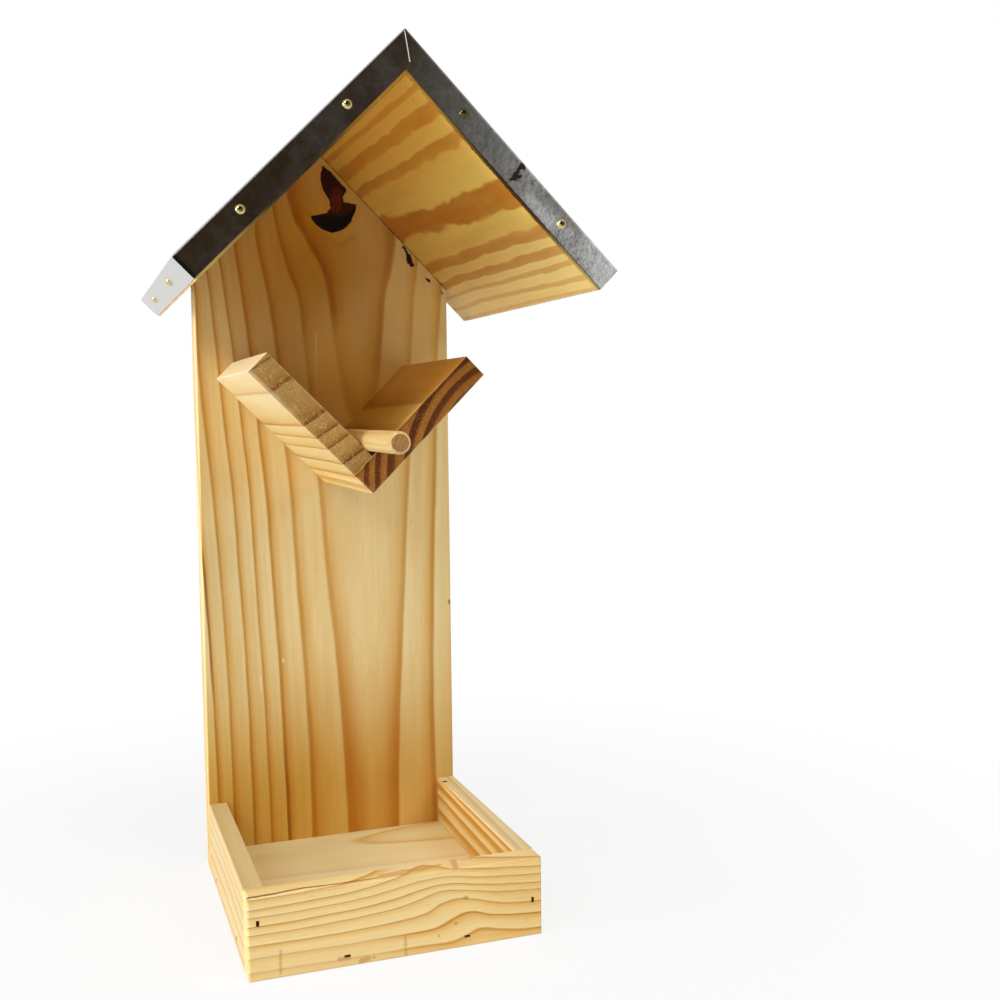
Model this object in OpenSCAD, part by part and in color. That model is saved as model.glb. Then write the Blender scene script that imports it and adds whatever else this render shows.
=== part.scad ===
// Wooden bird feeder: a backboard with a gabled roof under folded zinc, a V-shaped
// cradle of two boards, a perch dowel and a seed tray.
// Millimetres, +X to the right, +Y to the back, +Z up.
// The origin is at the bottom centre of the whole feeder.

/* [Backboard] */
// Width of the backboard
board_w = 111; // [100:1:122]
// Thickness of the backboard
board_t = 15; // [13:0.5:18]
// Height of the backboard's side edges, up to the roof
side_h = 254.5; // [246:0.5:280]

/* [Roof] */
// Length of a roof slope's underside, from the ridge to the eave
roof_len = 97.2; // [92:0.2:110]
// Depth of the roof boards, from front to back
roof_d = 150; // [140:1:170]
// Thickness of the roof boards
roof_t = 10; // [9:0.5:13]
// Thickness of the zinc sheet
sheet_t = 0.5; // [0.4:0.1:0.8]
// Strip of wood left bare below the folded flanges
flange_gap = 0.9; // [0.3:0.1:1.5]
// Open slit between the front flange and the eave flange at each corner
corner_slit = 0.5; // [0.3:0.1:1]
// Width of the seam where the two front flanges meet at the ridge
seam_gap = 0.25; // [0.15:0.05:0.5]
// How far the seam leans to the right on its way down
seam_lean = 1.7; // [0.5:0.1:2.5]
// Height above the ridge's underside at which the seam turns back to the middle
seam_clip = 3.9; // [2.5:0.1:6]
// Outer radius of the sheet's folds
fold_r = 1; // [0.6:0.1:1.1]
// Radius of the flanges' free corners at the back
flange_corner_r = 2; // [0.5:0.1:3]

/* [Cradle] */
// Depth of the cradle boards, from the backboard to their front ends
cradle_d = 89.5; // [75:0.5:105]
// Thickness of the cradle boards
cradle_t = 10; // [9:0.5:12]
// Length of the right cradle board, from the outer point of the V
cradle_right = 62.5; // [56:0.5:68]
// Length of the left arm of the V, from the outer point of the V
cradle_left = 64; // [58:0.5:68]
// Height of the outer point of the V above the foot
cradle_z = 169; // [140:1:180]
// Distance of the V to the right of the backboard's middle
cradle_x = -2.3; // [-5:0.1:3]

/* [Perch] */
// Diameter of the perch dowel
perch_dia = 8; // [6:0.5:9]
// Length of the perch in front of the cradle
perch_reach = 39; // [20:1:45]
// Depth of the perch's socket in the backboard
perch_socket = 8; // [4:0.5:10]
// Chamfer on the front end of the perch
perch_chamfer = 0.9; // [0.3:0.1:1.5]
// Clearance round the perch
perch_gap = 0.06; // [0.04:0.01:0.2]

/* [Seed tray] */
// Depth of the tray in front of the backboard
tray_d = 110; // [95:1:120]
// Height of the tray's rails
rail_h = 30.5; // [26:0.5:40]
// Thickness of the side rails
side_rail_t = 7.5; // [6:0.5:9]
// Thickness of the front rail
front_rail_t = 10; // [8:0.5:13]
// Thickness of the tray's floor board
floor_t = 10; // [8:0.5:12]
// Radius of the front rail's rounded edges
rail_round = 1; // [0.4:0.1:1.6]
// Radius of the sanded edges of the other boards
edge_round = 0.4; // [0.2:0.1:0.8]

/* [Sheet nails] */
// Diameter of a nail's domed head
nail_head_d = 3.4; // [2.8:0.1:4]
// Height of a nail's domed head
nail_head_h = 1; // [0.7:0.1:1.3]
// Diameter of a nail's shank
nail_d = 1.4; // [1:0.1:1.8]
// Length of a nail under its head
nail_len = 13; // [8:0.5:16]
// Height of the nails above the roof's underside
nail_rise = 6; // [5:0.1:7]
// Upper nail on each front flange, measured down the slope from the ridge
nail_high = 22; // [18:0.5:35]
// Lower nail on each front flange, measured down the slope from the ridge
nail_low = 71.6; // [60:0.2:80]
// Front nail on each eave, behind the roof's front
eave_nail_front = 47; // [35:0.5:60]
// Back nail on each eave, behind the roof's front
eave_nail_back = 114.6; // [95:0.2:125]

/* [Brads] */
// Thickness of a brad's wire
brad_t = 1; // [0.8:0.1:1.1]
// Width of a brad's wire
brad_w = 1.2; // [1.1:0.1:1.5]
// Length of a brad's head
brad_head_l = 2.3; // [2:0.1:2.8]
// Height of a brad's head
brad_head_h = 1; // [0.6:0.1:1.4]
// Depth to which the brads are sunk below the wood
brad_set = 0.8; // [0.4:0.1:1.2]
// Length of the brads
brad_len = 25; // [22:0.5:28]
// Length of the brads that pass the backboard
long_brad_len = 35; // [30:0.5:38]
// Height of the brad in the front rail's left end
front_brad_left_z = 21; // [16:0.5:23]
// Height of the brad in the front rail's right end
front_brad_right_z = 14; // [12.5:0.5:20]
// Height of the brads that hold the floor board
floor_brad_z = 4; // [3:0.1:5]
// Distance of the left floor brad from the middle of the tray
floor_brad_left = 20; // [10:0.5:25]
// Distance of the right floor brad from the middle of the tray
floor_brad_right = 25.5; // [10:0.5:26]
// Distance of the brads from the ends of a board
brad_inset = 20; // [18:0.5:24]
// Upper brad from each roof board into the backboard, down the slope from the ridge
roof_brad_high = 30; // [28:0.5:34]
// Lower brad from each roof board into the backboard, down the slope from the ridge
roof_brad_low = 60; // [50:0.5:64]
// Distance of the slanted brad in the right rail's top from the backboard
toe_brad_in = 7.4; // [6:0.1:8]
// Distance of the slanted brad from the tray's inner side
toe_brad_side = 1.3; // [1.2:0.1:1.5]

/* [Cradle screws] */
// Diameter of the cradle screws
screw_d = 3; // [2.5:0.5:4]
// Diameter of the cradle screws' heads
screw_head_d = 6; // [5.5:0.5:7.5]
// Length of the cradle screws
screw_len = 35; // [30:1:45]
// Distance of a cradle screw from the ends of its board
screw_inset = 14; // [9:0.5:17]

/* [Hanger plate] */
// Height of the middle of the hanger plate above the foot
hanger_z = 254; // [244:1:256]
// Width of the hanger plate
hanger_w = 16; // [14:0.5:20]
// Length of the hanger plate, up and down
hanger_l = 46; // [42:0.5:52]
// Thickness of the hanger plate
hanger_t = 1.5; // [1:0.1:2]
// Clearance between the hanger plate and its recess
hanger_gap = 0.15; // [0.1:0.05:0.3]
// Diameter of the keyhole's round mouth
key_d = 10; // [9:0.5:11]
// Width of the keyhole's slot
key_slot_w = 5; // [4.5:0.5:6]
// Height of the slot's end above the middle of the mouth
key_rise = 10; // [8:0.5:12]
// Depth of the pocket behind the hanger plate
pocket_d = 6; // [5:0.5:7]
// Room in the pocket around the wall screw's head
pocket_gap = 0.5; // [0.3:0.1:1]
// Diameter of the hanger plate's screws
hanger_screw_d = 2.5; // [2:0.5:3]
// Diameter of the hanger plate's screw heads
hanger_head_d = 5; // [4.5:0.5:5.5]
// Length of the hanger plate's screws
hanger_screw_len = 10; // [8:0.5:11]
// Distance of the hanger plate's screws from its ends
hanger_screw_in = 5; // [4:0.5:6]

/* [Hidden] */

$fn = 48;
// Slope of the roof and of the cradle's arms: the boards meet at square joints
slope = 45;
// Overshoot of a cutting tool past a face
over = 1;
// Size of a block that cuts away a whole side
far = 600;
// Depth, width and length of the cross recess in a screw head, as shares of the head
recess_share = 0.22;
recess_width_share = 0.14;
recess_length_share = 0.5;

half_w = board_w / 2;
// Backs of the backboard and the roof lie in one plane, the front nails' heads reach furthest forward
back_y = (roof_d + sheet_t + nail_head_h) / 2;
face_y = back_y - board_t;
roof_front_y = back_y - roof_d;
ridge_z = side_h + half_w * tan(slope);
tray_front_y = face_y - tray_d;
rail_l = tray_d - front_rail_t;
rail_x = half_w - side_rail_t / 2;
crotch_z = cradle_z + 2 * cradle_t * sin(slope);
perch_z = crotch_z + (perch_dia / 2 + perch_gap) / cos(slope);
perch_front_y = face_y - cradle_d - perch_reach;
key_z = hanger_z - key_rise / 2;
pocket_w = key_d + 2 * pocket_gap;

pine = "#e3bd7c";
pine_pale = "#edcd94";
pine_warm = "#d9a860";
zinc = "#8b8d8e";
brass = "#c9a94e";
wire = "#6e5a44";
steel = "#a9abad";

// Flat shapes

module rounded_rect(a, b, r) {
    translate([r, 0]) square([a - 2 * r, b]);
    translate([0, r]) square([a, b - 2 * r]);
    for (x = [r, a - r], y = [r, b - r]) translate([x, y]) circle(r);
}

// A board with all its edges rounded by r, from the origin to [x, y, z]
module board(x, y, z, r) {
    intersection() {
        linear_extrude(z) rounded_rect(x, y, r);
        translate([0, y, 0]) rotate([90, 0, 0]) linear_extrude(y) rounded_rect(x, z, r);
        rotate([90, 0, 90]) linear_extrude(x) rounded_rect(y, z, r);
    }
}

// Places: each puts its children where a piece or a fastener sits

// A roof slope: x runs down the slope from the ridge's underside, z stands off the underside
module on_roof(side) {
    translate([0, 0, ridge_z]) mirror([side < 0 ? 1 : 0, 0, 0]) rotate([0, slope, 0]) children();
}

// An arm of the cradle: x runs up the arm from the outer point of the V, z points into the V
module on_cradle(side) {
    translate([cradle_x, 0, cradle_z]) mirror([side < 0 ? 1 : 0, 0, 0]) rotate([0, -slope, 0]) children();
}

// Fasteners are drawn pointing down, with the surface that they enter at z = 0

module at_front_nails() {
    for (side = [-1, 1], along = [nail_high, nail_low]) on_roof(side)
        translate([along, roof_front_y - sheet_t, nail_rise]) rotate([90, 0, 0]) children();
}

module at_eave_nails(side) {
    on_roof(side) for (back = [eave_nail_front, eave_nail_back])
        translate([roof_len + sheet_t, roof_front_y + back, nail_rise]) rotate([0, 90, 0]) children();
}

module at_ridge_brads() {
    on_roof(-1) for (y = [roof_front_y + brad_inset, roof_front_y + roof_d / 2, back_y - brad_inset])
        translate([-roof_t / 2, y, roof_t]) children();
}

module at_roof_brads() {
    for (side = [-1, 1]) on_roof(side) for (along = [roof_brad_high, roof_brad_low])
        translate([along, back_y - board_t / 2, roof_t]) children();
}

module at_cradle_brads() {
    on_cradle(1) for (y = [face_y - brad_inset, face_y - cradle_d + brad_inset])
        translate([cradle_t / 2, y, 0]) rotate([180, 0, 90]) children();
}

module at_cradle_screws() {
    on_cradle(1) for (along = [cradle_t + screw_inset / 2, cradle_right - screw_inset])
        translate([along, back_y, cradle_t / 2]) rotate([-90, 0, 0]) children();
    on_cradle(-1) for (along = [cradle_t + screw_inset, cradle_left - screw_inset])
        translate([along, back_y, cradle_t / 2]) rotate([-90, 0, 0]) children();
}

module at_front_rail_brads() {
    translate([-rail_x, tray_front_y, front_brad_left_z]) rotate([90, 90, 0]) children();
    translate([rail_x, tray_front_y, front_brad_right_z]) rotate([90, 90, 0]) children();
}

module at_front_floor_brads() {
    for (x = [-floor_brad_left, floor_brad_right])
        translate([x, tray_front_y, floor_brad_z]) rotate([90, 0, 0]) children();
}

module at_side_floor_brads() {
    for (side = [0, 1], y = [face_y - brad_inset, face_y - rail_l + brad_inset])
        mirror([side, 0, 0]) translate([half_w, y, floor_brad_z]) rotate([90, 0, 90]) children();
}

module at_back_rail_brads() {
    for (x = [-rail_x, rail_x]) translate([x, back_y, rail_h / 2]) rotate([-90, 90, 0]) children();
}

module at_back_floor_brads() {
    for (x = [-floor_brad_left, floor_brad_right])
        translate([x, back_y, floor_brad_z]) rotate([-90, 0, 0]) children();
}

module at_toe_brad() {
    translate([half_w - side_rail_t + toe_brad_side, face_y - toe_brad_in, rail_h])
        rotate([slope, 0, 0]) children();
}

module at_perch() {
    translate([cradle_x, perch_front_y, perch_z]) rotate([-90, 0, 0]) children();
}

module at_hanger_screws() {
    for (z = [-1, 1]) translate([0, back_y, hanger_z + z * (hanger_l / 2 - hanger_screw_in)])
        rotate([-90, 0, 0]) children();
}

// Fasteners and their holes

module nail() {
    ball_r = (nail_head_d * nail_head_d / 4 + nail_head_h * nail_head_h) / (2 * nail_head_h);
    intersection() {
        cylinder(d = nail_head_d, h = nail_head_h);
        translate([0, 0, nail_head_h - ball_r]) sphere(ball_r);
    }
    nail_hole();
}

module nail_hole() {
    translate([0, 0, -nail_len]) cylinder(d = nail_d, h = nail_len);
}

module brad(len) {
    translate([-brad_head_l / 2, -brad_w / 2, -brad_set - brad_head_h])
        cube([brad_head_l, brad_w, brad_head_h]);
    translate([-brad_t / 2, -brad_w / 2, -len]) cube([brad_t, brad_w, len - brad_set - brad_head_h]);
}

module brad_hole(len) {
    brad(len);
    translate([-brad_head_l / 2, -brad_w / 2, -brad_set]) cube([brad_head_l, brad_w, brad_set + over]);
}

module screw_body(d, head_d, len) {
    head_h = (head_d - d) / 2;
    translate([0, 0, -head_h]) cylinder(d1 = d, d2 = head_d, h = head_h);
    translate([0, 0, -len]) cylinder(d = d, h = len - head_h);
}

module screw(d, head_d, len) {
    recess_l = head_d * recess_length_share;
    recess_w = head_d * recess_width_share;
    recess_d = head_d * recess_share;
    difference() {
        screw_body(d, head_d, len);
        translate([-recess_l / 2, -recess_w / 2, -recess_d]) cube([recess_l, recess_w, recess_d + over]);
        translate([-recess_w / 2, -recess_l / 2, -recess_d]) cube([recess_w, recess_l, recess_d + over]);
    }
}

// The dowel from its front end to its seat in the backboard, made longer and wider for its hole
module perch_body(wider) {
    len = cradle_d + perch_reach + perch_socket;
    r = perch_dia / 2;
    translate([0, 0, perch_chamfer]) cylinder(r = r + wider, h = len - perch_chamfer + wider);
    cylinder(r1 = r - perch_chamfer + wider, r2 = r + wider, h = perch_chamfer);
}

// The hanger plate's outline and keyhole, upright in the plane of the backboard's back

module stadium(w, l) {
    translate([-w / 2, w / 2 - l / 2]) square([w, l - w]);
    for (side = [-1, 1]) translate([0, side * (l - w) / 2]) circle(d = w);
}

module keyhole() {
    translate([0, key_z - hanger_z]) circle(d = key_d);
    translate([-key_slot_w / 2, key_z - hanger_z]) square([key_slot_w, key_rise]);
    translate([0, key_z - hanger_z + key_rise]) circle(d = key_slot_w);
}

module in_back(depth_from, depth_to) {
    translate([0, back_y - depth_from, hanger_z]) rotate([90, 0, 0])
        linear_extrude(depth_to - depth_from) children();
}

// Sub-parts

module backboard() {
    color(pine) difference() {
        intersection() {
            translate([0, back_y, 0]) rotate([90, 0, 0]) linear_extrude(board_t)
                polygon([[-half_w, 0], [half_w, 0], [half_w, side_h], [0, ridge_z], [-half_w, side_h]]);
            translate([-half_w, face_y, 0]) linear_extrude(ridge_z + over)
                rounded_rect(board_w, board_t, edge_round);
        }
        at_perch() perch_body(perch_gap);
        at_roof_brads() brad_hole(brad_len);
        at_cradle_screws() screw_body(screw_d, screw_head_d, screw_len);
        at_back_rail_brads() brad_hole(long_brad_len);
        at_back_floor_brads() brad_hole(long_brad_len);
        at_toe_brad() brad_hole(brad_len);
        in_back(-over, hanger_t) stadium(hanger_w + 2 * hanger_gap, hanger_l + 2 * hanger_gap);
        in_back(hanger_t, hanger_t + pocket_d) translate([0, key_z - hanger_z + key_rise / 2])
            stadium(pocket_w, key_rise + pocket_w);
        at_hanger_screws() screw_body(hanger_screw_d, hanger_head_d, hanger_screw_len);
    }
}

module roof_board_left() {
    color(pine) difference() {
        on_roof(-1) translate([-roof_t, roof_front_y, 0])
            board(roof_len + roof_t, roof_d, roof_t, edge_round);
        at_front_nails() nail_hole();
        at_eave_nails(-1) nail_hole();
        at_ridge_brads() brad_hole(brad_len);
        at_roof_brads() brad_hole(brad_len);
    }
}

module roof_board_right() {
    color(pine_warm) difference() {
        on_roof(1) translate([0, roof_front_y, 0]) board(roof_len, roof_d, roof_t, edge_round);
        at_front_nails() nail_hole();
        at_eave_nails(1) nail_hole();
        at_ridge_brads() brad_hole(brad_len);
        at_roof_brads() brad_hole(brad_len);
    }
}

// The sheet's cross-section, with the ridge's underside at the origin: x to the right, y up
module sheet_section() {
    for (side = [0, 1]) mirror([side, 0]) rotate(-slope) {
        translate([-roof_t - sheet_t, roof_t]) square([roof_len + roof_t + 2 * sheet_t, sheet_t]);
        translate([roof_len, flange_gap]) square([sheet_t, roof_t + sheet_t - flange_gap]);
    }
}

// The two front flanges, with the slit between them at the ridge
module front_flange_section() {
    apex = (roof_t + sheet_t) / cos(slope);
    difference() {
        for (side = [0, 1]) mirror([side, 0]) rotate(-slope)
            translate([-roof_t - sheet_t, flange_gap])
                square([roof_len + sheet_t + roof_t, roof_t + sheet_t - flange_gap]);
        polygon([[0, apex - sheet_t / cos(slope)], [seam_lean, seam_clip], [0, 0], [-seam_gap, 0],
            [seam_lean - seam_gap, seam_clip], [-seam_gap, apex - sheet_t / cos(slope)]]);
    }
}

// What a fold's rounding takes off its edge, from the origin along x, with the sheet below and behind
module fold_cut(len) {
    rotate([90, 0, 90]) linear_extrude(len) difference() {
        translate([-over, -fold_r]) square(fold_r + over);
        translate([fold_r, -fold_r]) circle(fold_r);
    }
}

module roof_sheet() {
    color(zinc) difference() {
        union() {
            translate([0, back_y, ridge_z]) rotate([90, 0, 0]) linear_extrude(roof_d + sheet_t) sheet_section();
            translate([0, roof_front_y, ridge_z]) rotate([90, 0, 0]) linear_extrude(sheet_t)
                front_flange_section();
        }
        on_roof(-1) translate([-roof_t - sheet_t, back_y + over, roof_t + sheet_t]) rotate([0, 0, -90])
            fold_cut(roof_d + sheet_t + 2 * over);
        for (side = [-1, 1]) on_roof(side) {
            translate([-roof_t - sheet_t - over, roof_front_y - sheet_t, roof_t + sheet_t])
                fold_cut(roof_len + roof_t + 2 * (sheet_t + over));
            translate([roof_len + sheet_t, roof_front_y - sheet_t - over, roof_t + sheet_t])
                rotate([0, 0, 90]) fold_cut(roof_d + sheet_t + 2 * over);
            translate([roof_len, roof_front_y - sheet_t - over, flange_gap - over])
                cube([sheet_t + over, corner_slit + over, roof_t - flange_gap + over]);
            translate([roof_len - over, back_y - flange_corner_r, flange_gap - over])
                flange_corner_cut();
        }
        at_front_nails() nail_hole();
        at_eave_nails(-1) nail_hole();
        at_eave_nails(1) nail_hole();
    }
}

// What the rounding takes off an eave flange's lower corner at the back
module flange_corner_cut() {
    difference() {
        cube([sheet_t + 2 * over, flange_corner_r + over, flange_corner_r + over]);
        translate([-over, 0, flange_corner_r + over]) rotate([0, 90, 0])
            cylinder(r = flange_corner_r, h = sheet_t + 4 * over);
    }
}

module cradle_board_right() {
    color(pine_warm) difference() {
        on_cradle(1) translate([0, face_y - cradle_d, 0])
            board(cradle_right, cradle_d, cradle_t, edge_round);
        at_cradle_brads() brad_hole(brad_len);
        at_cradle_screws() screw_body(screw_d, screw_head_d, screw_len);
    }
}

module cradle_board_left() {
    color(pine_pale) difference() {
        on_cradle(-1) translate([cradle_t, face_y - cradle_d, 0])
            board(cradle_left - cradle_t, cradle_d, cradle_t, edge_round);
        at_cradle_brads() brad_hole(brad_len);
        at_cradle_screws() screw_body(screw_d, screw_head_d, screw_len);
    }
}

module perch_dowel() {
    color(pine_pale) at_perch() perch_body(0);
}

module tray_floor() {
    color(pine_pale) difference() {
        translate([-half_w + side_rail_t, face_y - rail_l, 0])
            board(board_w - 2 * side_rail_t, rail_l, floor_t, edge_round);
        at_front_floor_brads() brad_hole(brad_len);
        at_side_floor_brads() brad_hole(brad_len);
        at_back_floor_brads() brad_hole(long_brad_len);
    }
}

module tray_side_rail(side) {
    difference() {
        translate([side * rail_x - side_rail_t / 2, face_y - rail_l, 0])
            board(side_rail_t, rail_l, rail_h, edge_round);
        at_front_rail_brads() brad_hole(brad_len);
        at_side_floor_brads() brad_hole(brad_len);
        at_back_rail_brads() brad_hole(long_brad_len);
        at_toe_brad() brad_hole(brad_len);
    }
}

module tray_rail_left() {
    color(pine) tray_side_rail(-1);
}

module tray_rail_right() {
    color(pine_warm) tray_side_rail(1);
}

module tray_rail_front() {
    color(pine_pale) difference() {
        translate([-half_w, tray_front_y, 0]) board(board_w, front_rail_t, rail_h, rail_round);
        at_front_rail_brads() brad_hole(brad_len);
        at_front_floor_brads() brad_hole(brad_len);
    }
}

module front_flange_nails() {
    color(brass) at_front_nails() nail();
}

module eave_nails_left() {
    color(brass) at_eave_nails(-1) nail();
}

module eave_nails_right() {
    color(brass) at_eave_nails(1) nail();
}

module ridge_brads() {
    color(wire) at_ridge_brads() brad(brad_len);
}

module roof_to_board_brads() {
    color(wire) at_roof_brads() brad(brad_len);
}

module cradle_joint_brads() {
    color(wire) at_cradle_brads() brad(brad_len);
}

module cradle_screws() {
    color(steel) at_cradle_screws() screw(screw_d, screw_head_d, screw_len);
}

module front_rail_brads() {
    color(wire) at_front_rail_brads() brad(brad_len);
}

module front_floor_brads() {
    color(wire) at_front_floor_brads() brad(brad_len);
}

module side_floor_brads() {
    color(wire) at_side_floor_brads() brad(brad_len);
}

module back_rail_brads() {
    color(wire) at_back_rail_brads() brad(long_brad_len);
}

module back_floor_brads() {
    color(wire) at_back_floor_brads() brad(long_brad_len);
}

module rail_toe_brad() {
    color(wire) at_toe_brad() brad(brad_len);
}

module hanger_plate() {
    color(steel) difference() {
        in_back(0, hanger_t) difference() {
            stadium(hanger_w, hanger_l);
            keyhole();
        }
        at_hanger_screws() screw_body(hanger_screw_d, hanger_head_d, hanger_screw_len);
    }
}

module hanger_screws() {
    color(steel) at_hanger_screws() screw(hanger_screw_d, hanger_head_d, hanger_screw_len);
}

backboard();
roof_board_left();
roof_board_right();
roof_sheet();
cradle_board_left();
cradle_board_right();
perch_dowel();
tray_floor();
tray_rail_left();
tray_rail_right();
tray_rail_front();
front_flange_nails();
eave_nails_left();
eave_nails_right();
ridge_brads();
roof_to_board_brads();
cradle_joint_brads();
cradle_screws();
front_rail_brads();
front_floor_brads();
side_floor_brads();
back_rail_brads();
back_floor_brads();
rail_toe_brad();
hanger_plate();
hanger_screws();
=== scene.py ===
"""Looks of a pine bird feeder with a V-shaped cradle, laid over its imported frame.

Lengths in the grain tables are millimetres on the board that they belong to.
Across is measured on the face that is seen most, depth goes in behind that
face, and along follows the grain.
"""
import math

import bpy
from bpy.props import FloatProperty, FloatVectorProperty, PointerProperty
from mathutils import Matrix, Quaternion, Vector

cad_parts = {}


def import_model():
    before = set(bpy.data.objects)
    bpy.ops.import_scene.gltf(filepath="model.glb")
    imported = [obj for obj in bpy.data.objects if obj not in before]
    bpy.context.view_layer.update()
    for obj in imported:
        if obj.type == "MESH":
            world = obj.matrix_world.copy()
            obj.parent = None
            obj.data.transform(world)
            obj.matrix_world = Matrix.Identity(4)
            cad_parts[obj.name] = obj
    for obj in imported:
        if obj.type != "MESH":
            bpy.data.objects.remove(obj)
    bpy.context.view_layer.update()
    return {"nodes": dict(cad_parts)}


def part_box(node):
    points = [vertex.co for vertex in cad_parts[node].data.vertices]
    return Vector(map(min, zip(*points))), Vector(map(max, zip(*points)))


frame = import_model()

bl_info = {
    "name": "Cradle Bird Feeder",
    "version": (1, 0, 0),
    "blender": (4, 5, 0),
    "location": "View3D > Sidebar > Bird Feeder",
    "description": "Pine, zinc, brass and wire finishes of a bird feeder",
    "category": "Object",
}

MM = 0.001
SIN45 = math.sqrt(0.5)


def tone(red, green, blue):
    """A colour as a screen shows it, 0 to 255, in the linear values that shaders take."""
    def linear(value):
        value /= 255
        return value / 12.92 if value <= 0.04045 else ((value + 0.055) / 1.055) ** 2.4
    return (linear(red), linear(green), linear(blue))


def colour_setting(name, text, value):
    return FloatVectorProperty(name=name, description=text, subtype="COLOR", size=3, min=0, max=1,
                               default=value)


def share_setting(name, text, value):
    return FloatProperty(name=name, description=text, subtype="FACTOR", min=0, max=1,
                         default=value)


def power_setting(name, text, watts):
    return FloatProperty(name=name, description=text, unit="POWER", min=0, max=100,
                         default=watts)


# Places on the feeder, in metres in the row frame

def corners(node):
    """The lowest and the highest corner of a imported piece."""
    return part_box(node)


BACK_LOW, BACK_HIGH = corners("backboard")
FLOOR_LOW, FLOOR_HIGH = corners("tray_floor")
FRONT_LOW, FRONT_HIGH = corners("tray_rail_front")
RIGHT_LOW, RIGHT_HIGH = corners("tray_rail_right")
LEFT_HIGH = corners("tray_rail_left")[1]
CRADLE_LOW = corners("cradle_board_right")[0]
ROOF_LOW = corners("roof_board_right")[0]
DOWEL_LOW, DOWEL_HIGH = corners("perch_dowel")

# Sizes of the boards, in millimetres
BOARD_WIDTH = (BACK_HIGH.x - BACK_LOW.x) / MM
BOARD_THICK = (BACK_HIGH.y - BACK_LOW.y) / MM
BACK_HEIGHT = 310.0
PLANK = 10.0
ROOF_SLOPE, ROOF_DEPTH = 97.2, 150.0
CRADLE_LEFT_WIDTH, CRADLE_RIGHT_WIDTH, CRADLE_DEPTH = 64.0, 62.5, 89.5
FLOOR_DEPTH, FLOOR_WIDTH = 100.0, 96.0
RAIL_HEIGHT, SIDE_RAIL_THICK, SIDE_RAIL_LENGTH = 30.5, 7.5, 100.0
DOWEL_WIDTH, DOWEL_LENGTH = 8.0, 47.0

RIDGE = Vector((0, ROOF_LOW.y, BACK_HIGH.z))
CRADLE_TIP_X = CRADLE_LOW.x + PLANK * MM * SIN45

RIGHT, LEFT = (1, 0, 0), (-1, 0, 0)
AHEAD, BACK = (0, -1, 0), (0, 1, 0)
UP, DOWN = (0, 0, 1), (0, 0, -1)
UP_RIGHT, UP_LEFT = (SIN45, 0, SIN45), (-SIN45, 0, SIN45)
DOWN_RIGHT, DOWN_LEFT = (SIN45, 0, -SIN45), (-SIN45, 0, -SIN45)


# Settings

class FEEDER_PG_pine(bpy.types.PropertyGroup):
    """Colours of the clear sealed pine and the way it takes light"""
    pale: colour_setting("Pale wood", "Wood just outside a ring line", tone(243, 220, 162))
    base: colour_setting("Base wood", "Wood between the ring lines", tone(236, 206, 140))
    late: colour_setting("Late wood", "Wood that fades towards a ring line", tone(214, 151, 36))
    dark: colour_setting("Ring line", "The ring line itself", tone(178, 118, 30))
    knot: colour_setting("Knot", "Burnt looking knot in the backboard", tone(26, 9, 4))
    crack: colour_setting("Crack", "Dark in cracks and scratches", tone(104, 50, 20))
    worn: colour_setting("Worn edge", "Edges rubbed pale", tone(250, 232, 192))
    roughness: share_setting("Roughness", "Roughness of the sealed face", 0.46)
    grain_height: FloatProperty(
        name="Grain height", description="How far the grain stands out", default=0.00008,
        min=0, max=0.001, unit="LENGTH")


class FEEDER_PG_metal(bpy.types.PropertyGroup):
    """Colours of the sheet, nails, brads, screws and hanger"""
    zinc: colour_setting("Zinc", "Bare zinc coat", tone(199, 200, 197))
    tarnish: colour_setting("Tarnish", "Brown film on the zinc", tone(82, 68, 53))
    brass: colour_setting("Brass", "Nail heads", tone(222, 206, 138))
    wire: colour_setting("Wire", "Dull coated brads", tone(92, 70, 52))
    plated: colour_setting("Plated steel", "Screws and hanger", tone(200, 198, 190))
    zinc_roughness: share_setting("Zinc roughness", "Roughness of the sheet", 0.24)


class FEEDER_PG_stage(bpy.types.PropertyGroup):
    """Camera, floor and lights"""
    lens: FloatProperty(
        name="Lens", description="Focal length in millimetres", default=43.503, min=10, max=200)
    floor: colour_setting("Floor", "Colour of the floor", (0.9, 0.9, 0.9))
    side: power_setting("Side light", "Soft panel low at the left", 16.5)
    key: power_setting("Key light", "Soft panel at the front left", 5.8)
    fill: power_setting("Fill light", "Soft panel at the front right", 6.1)
    top: power_setting("Top light", "Soft panel over the front", 3.4)
    air: FloatProperty(
        name="Air", description="Even light from all round", default=0.15, min=0, max=2)


# Node wiring

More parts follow.
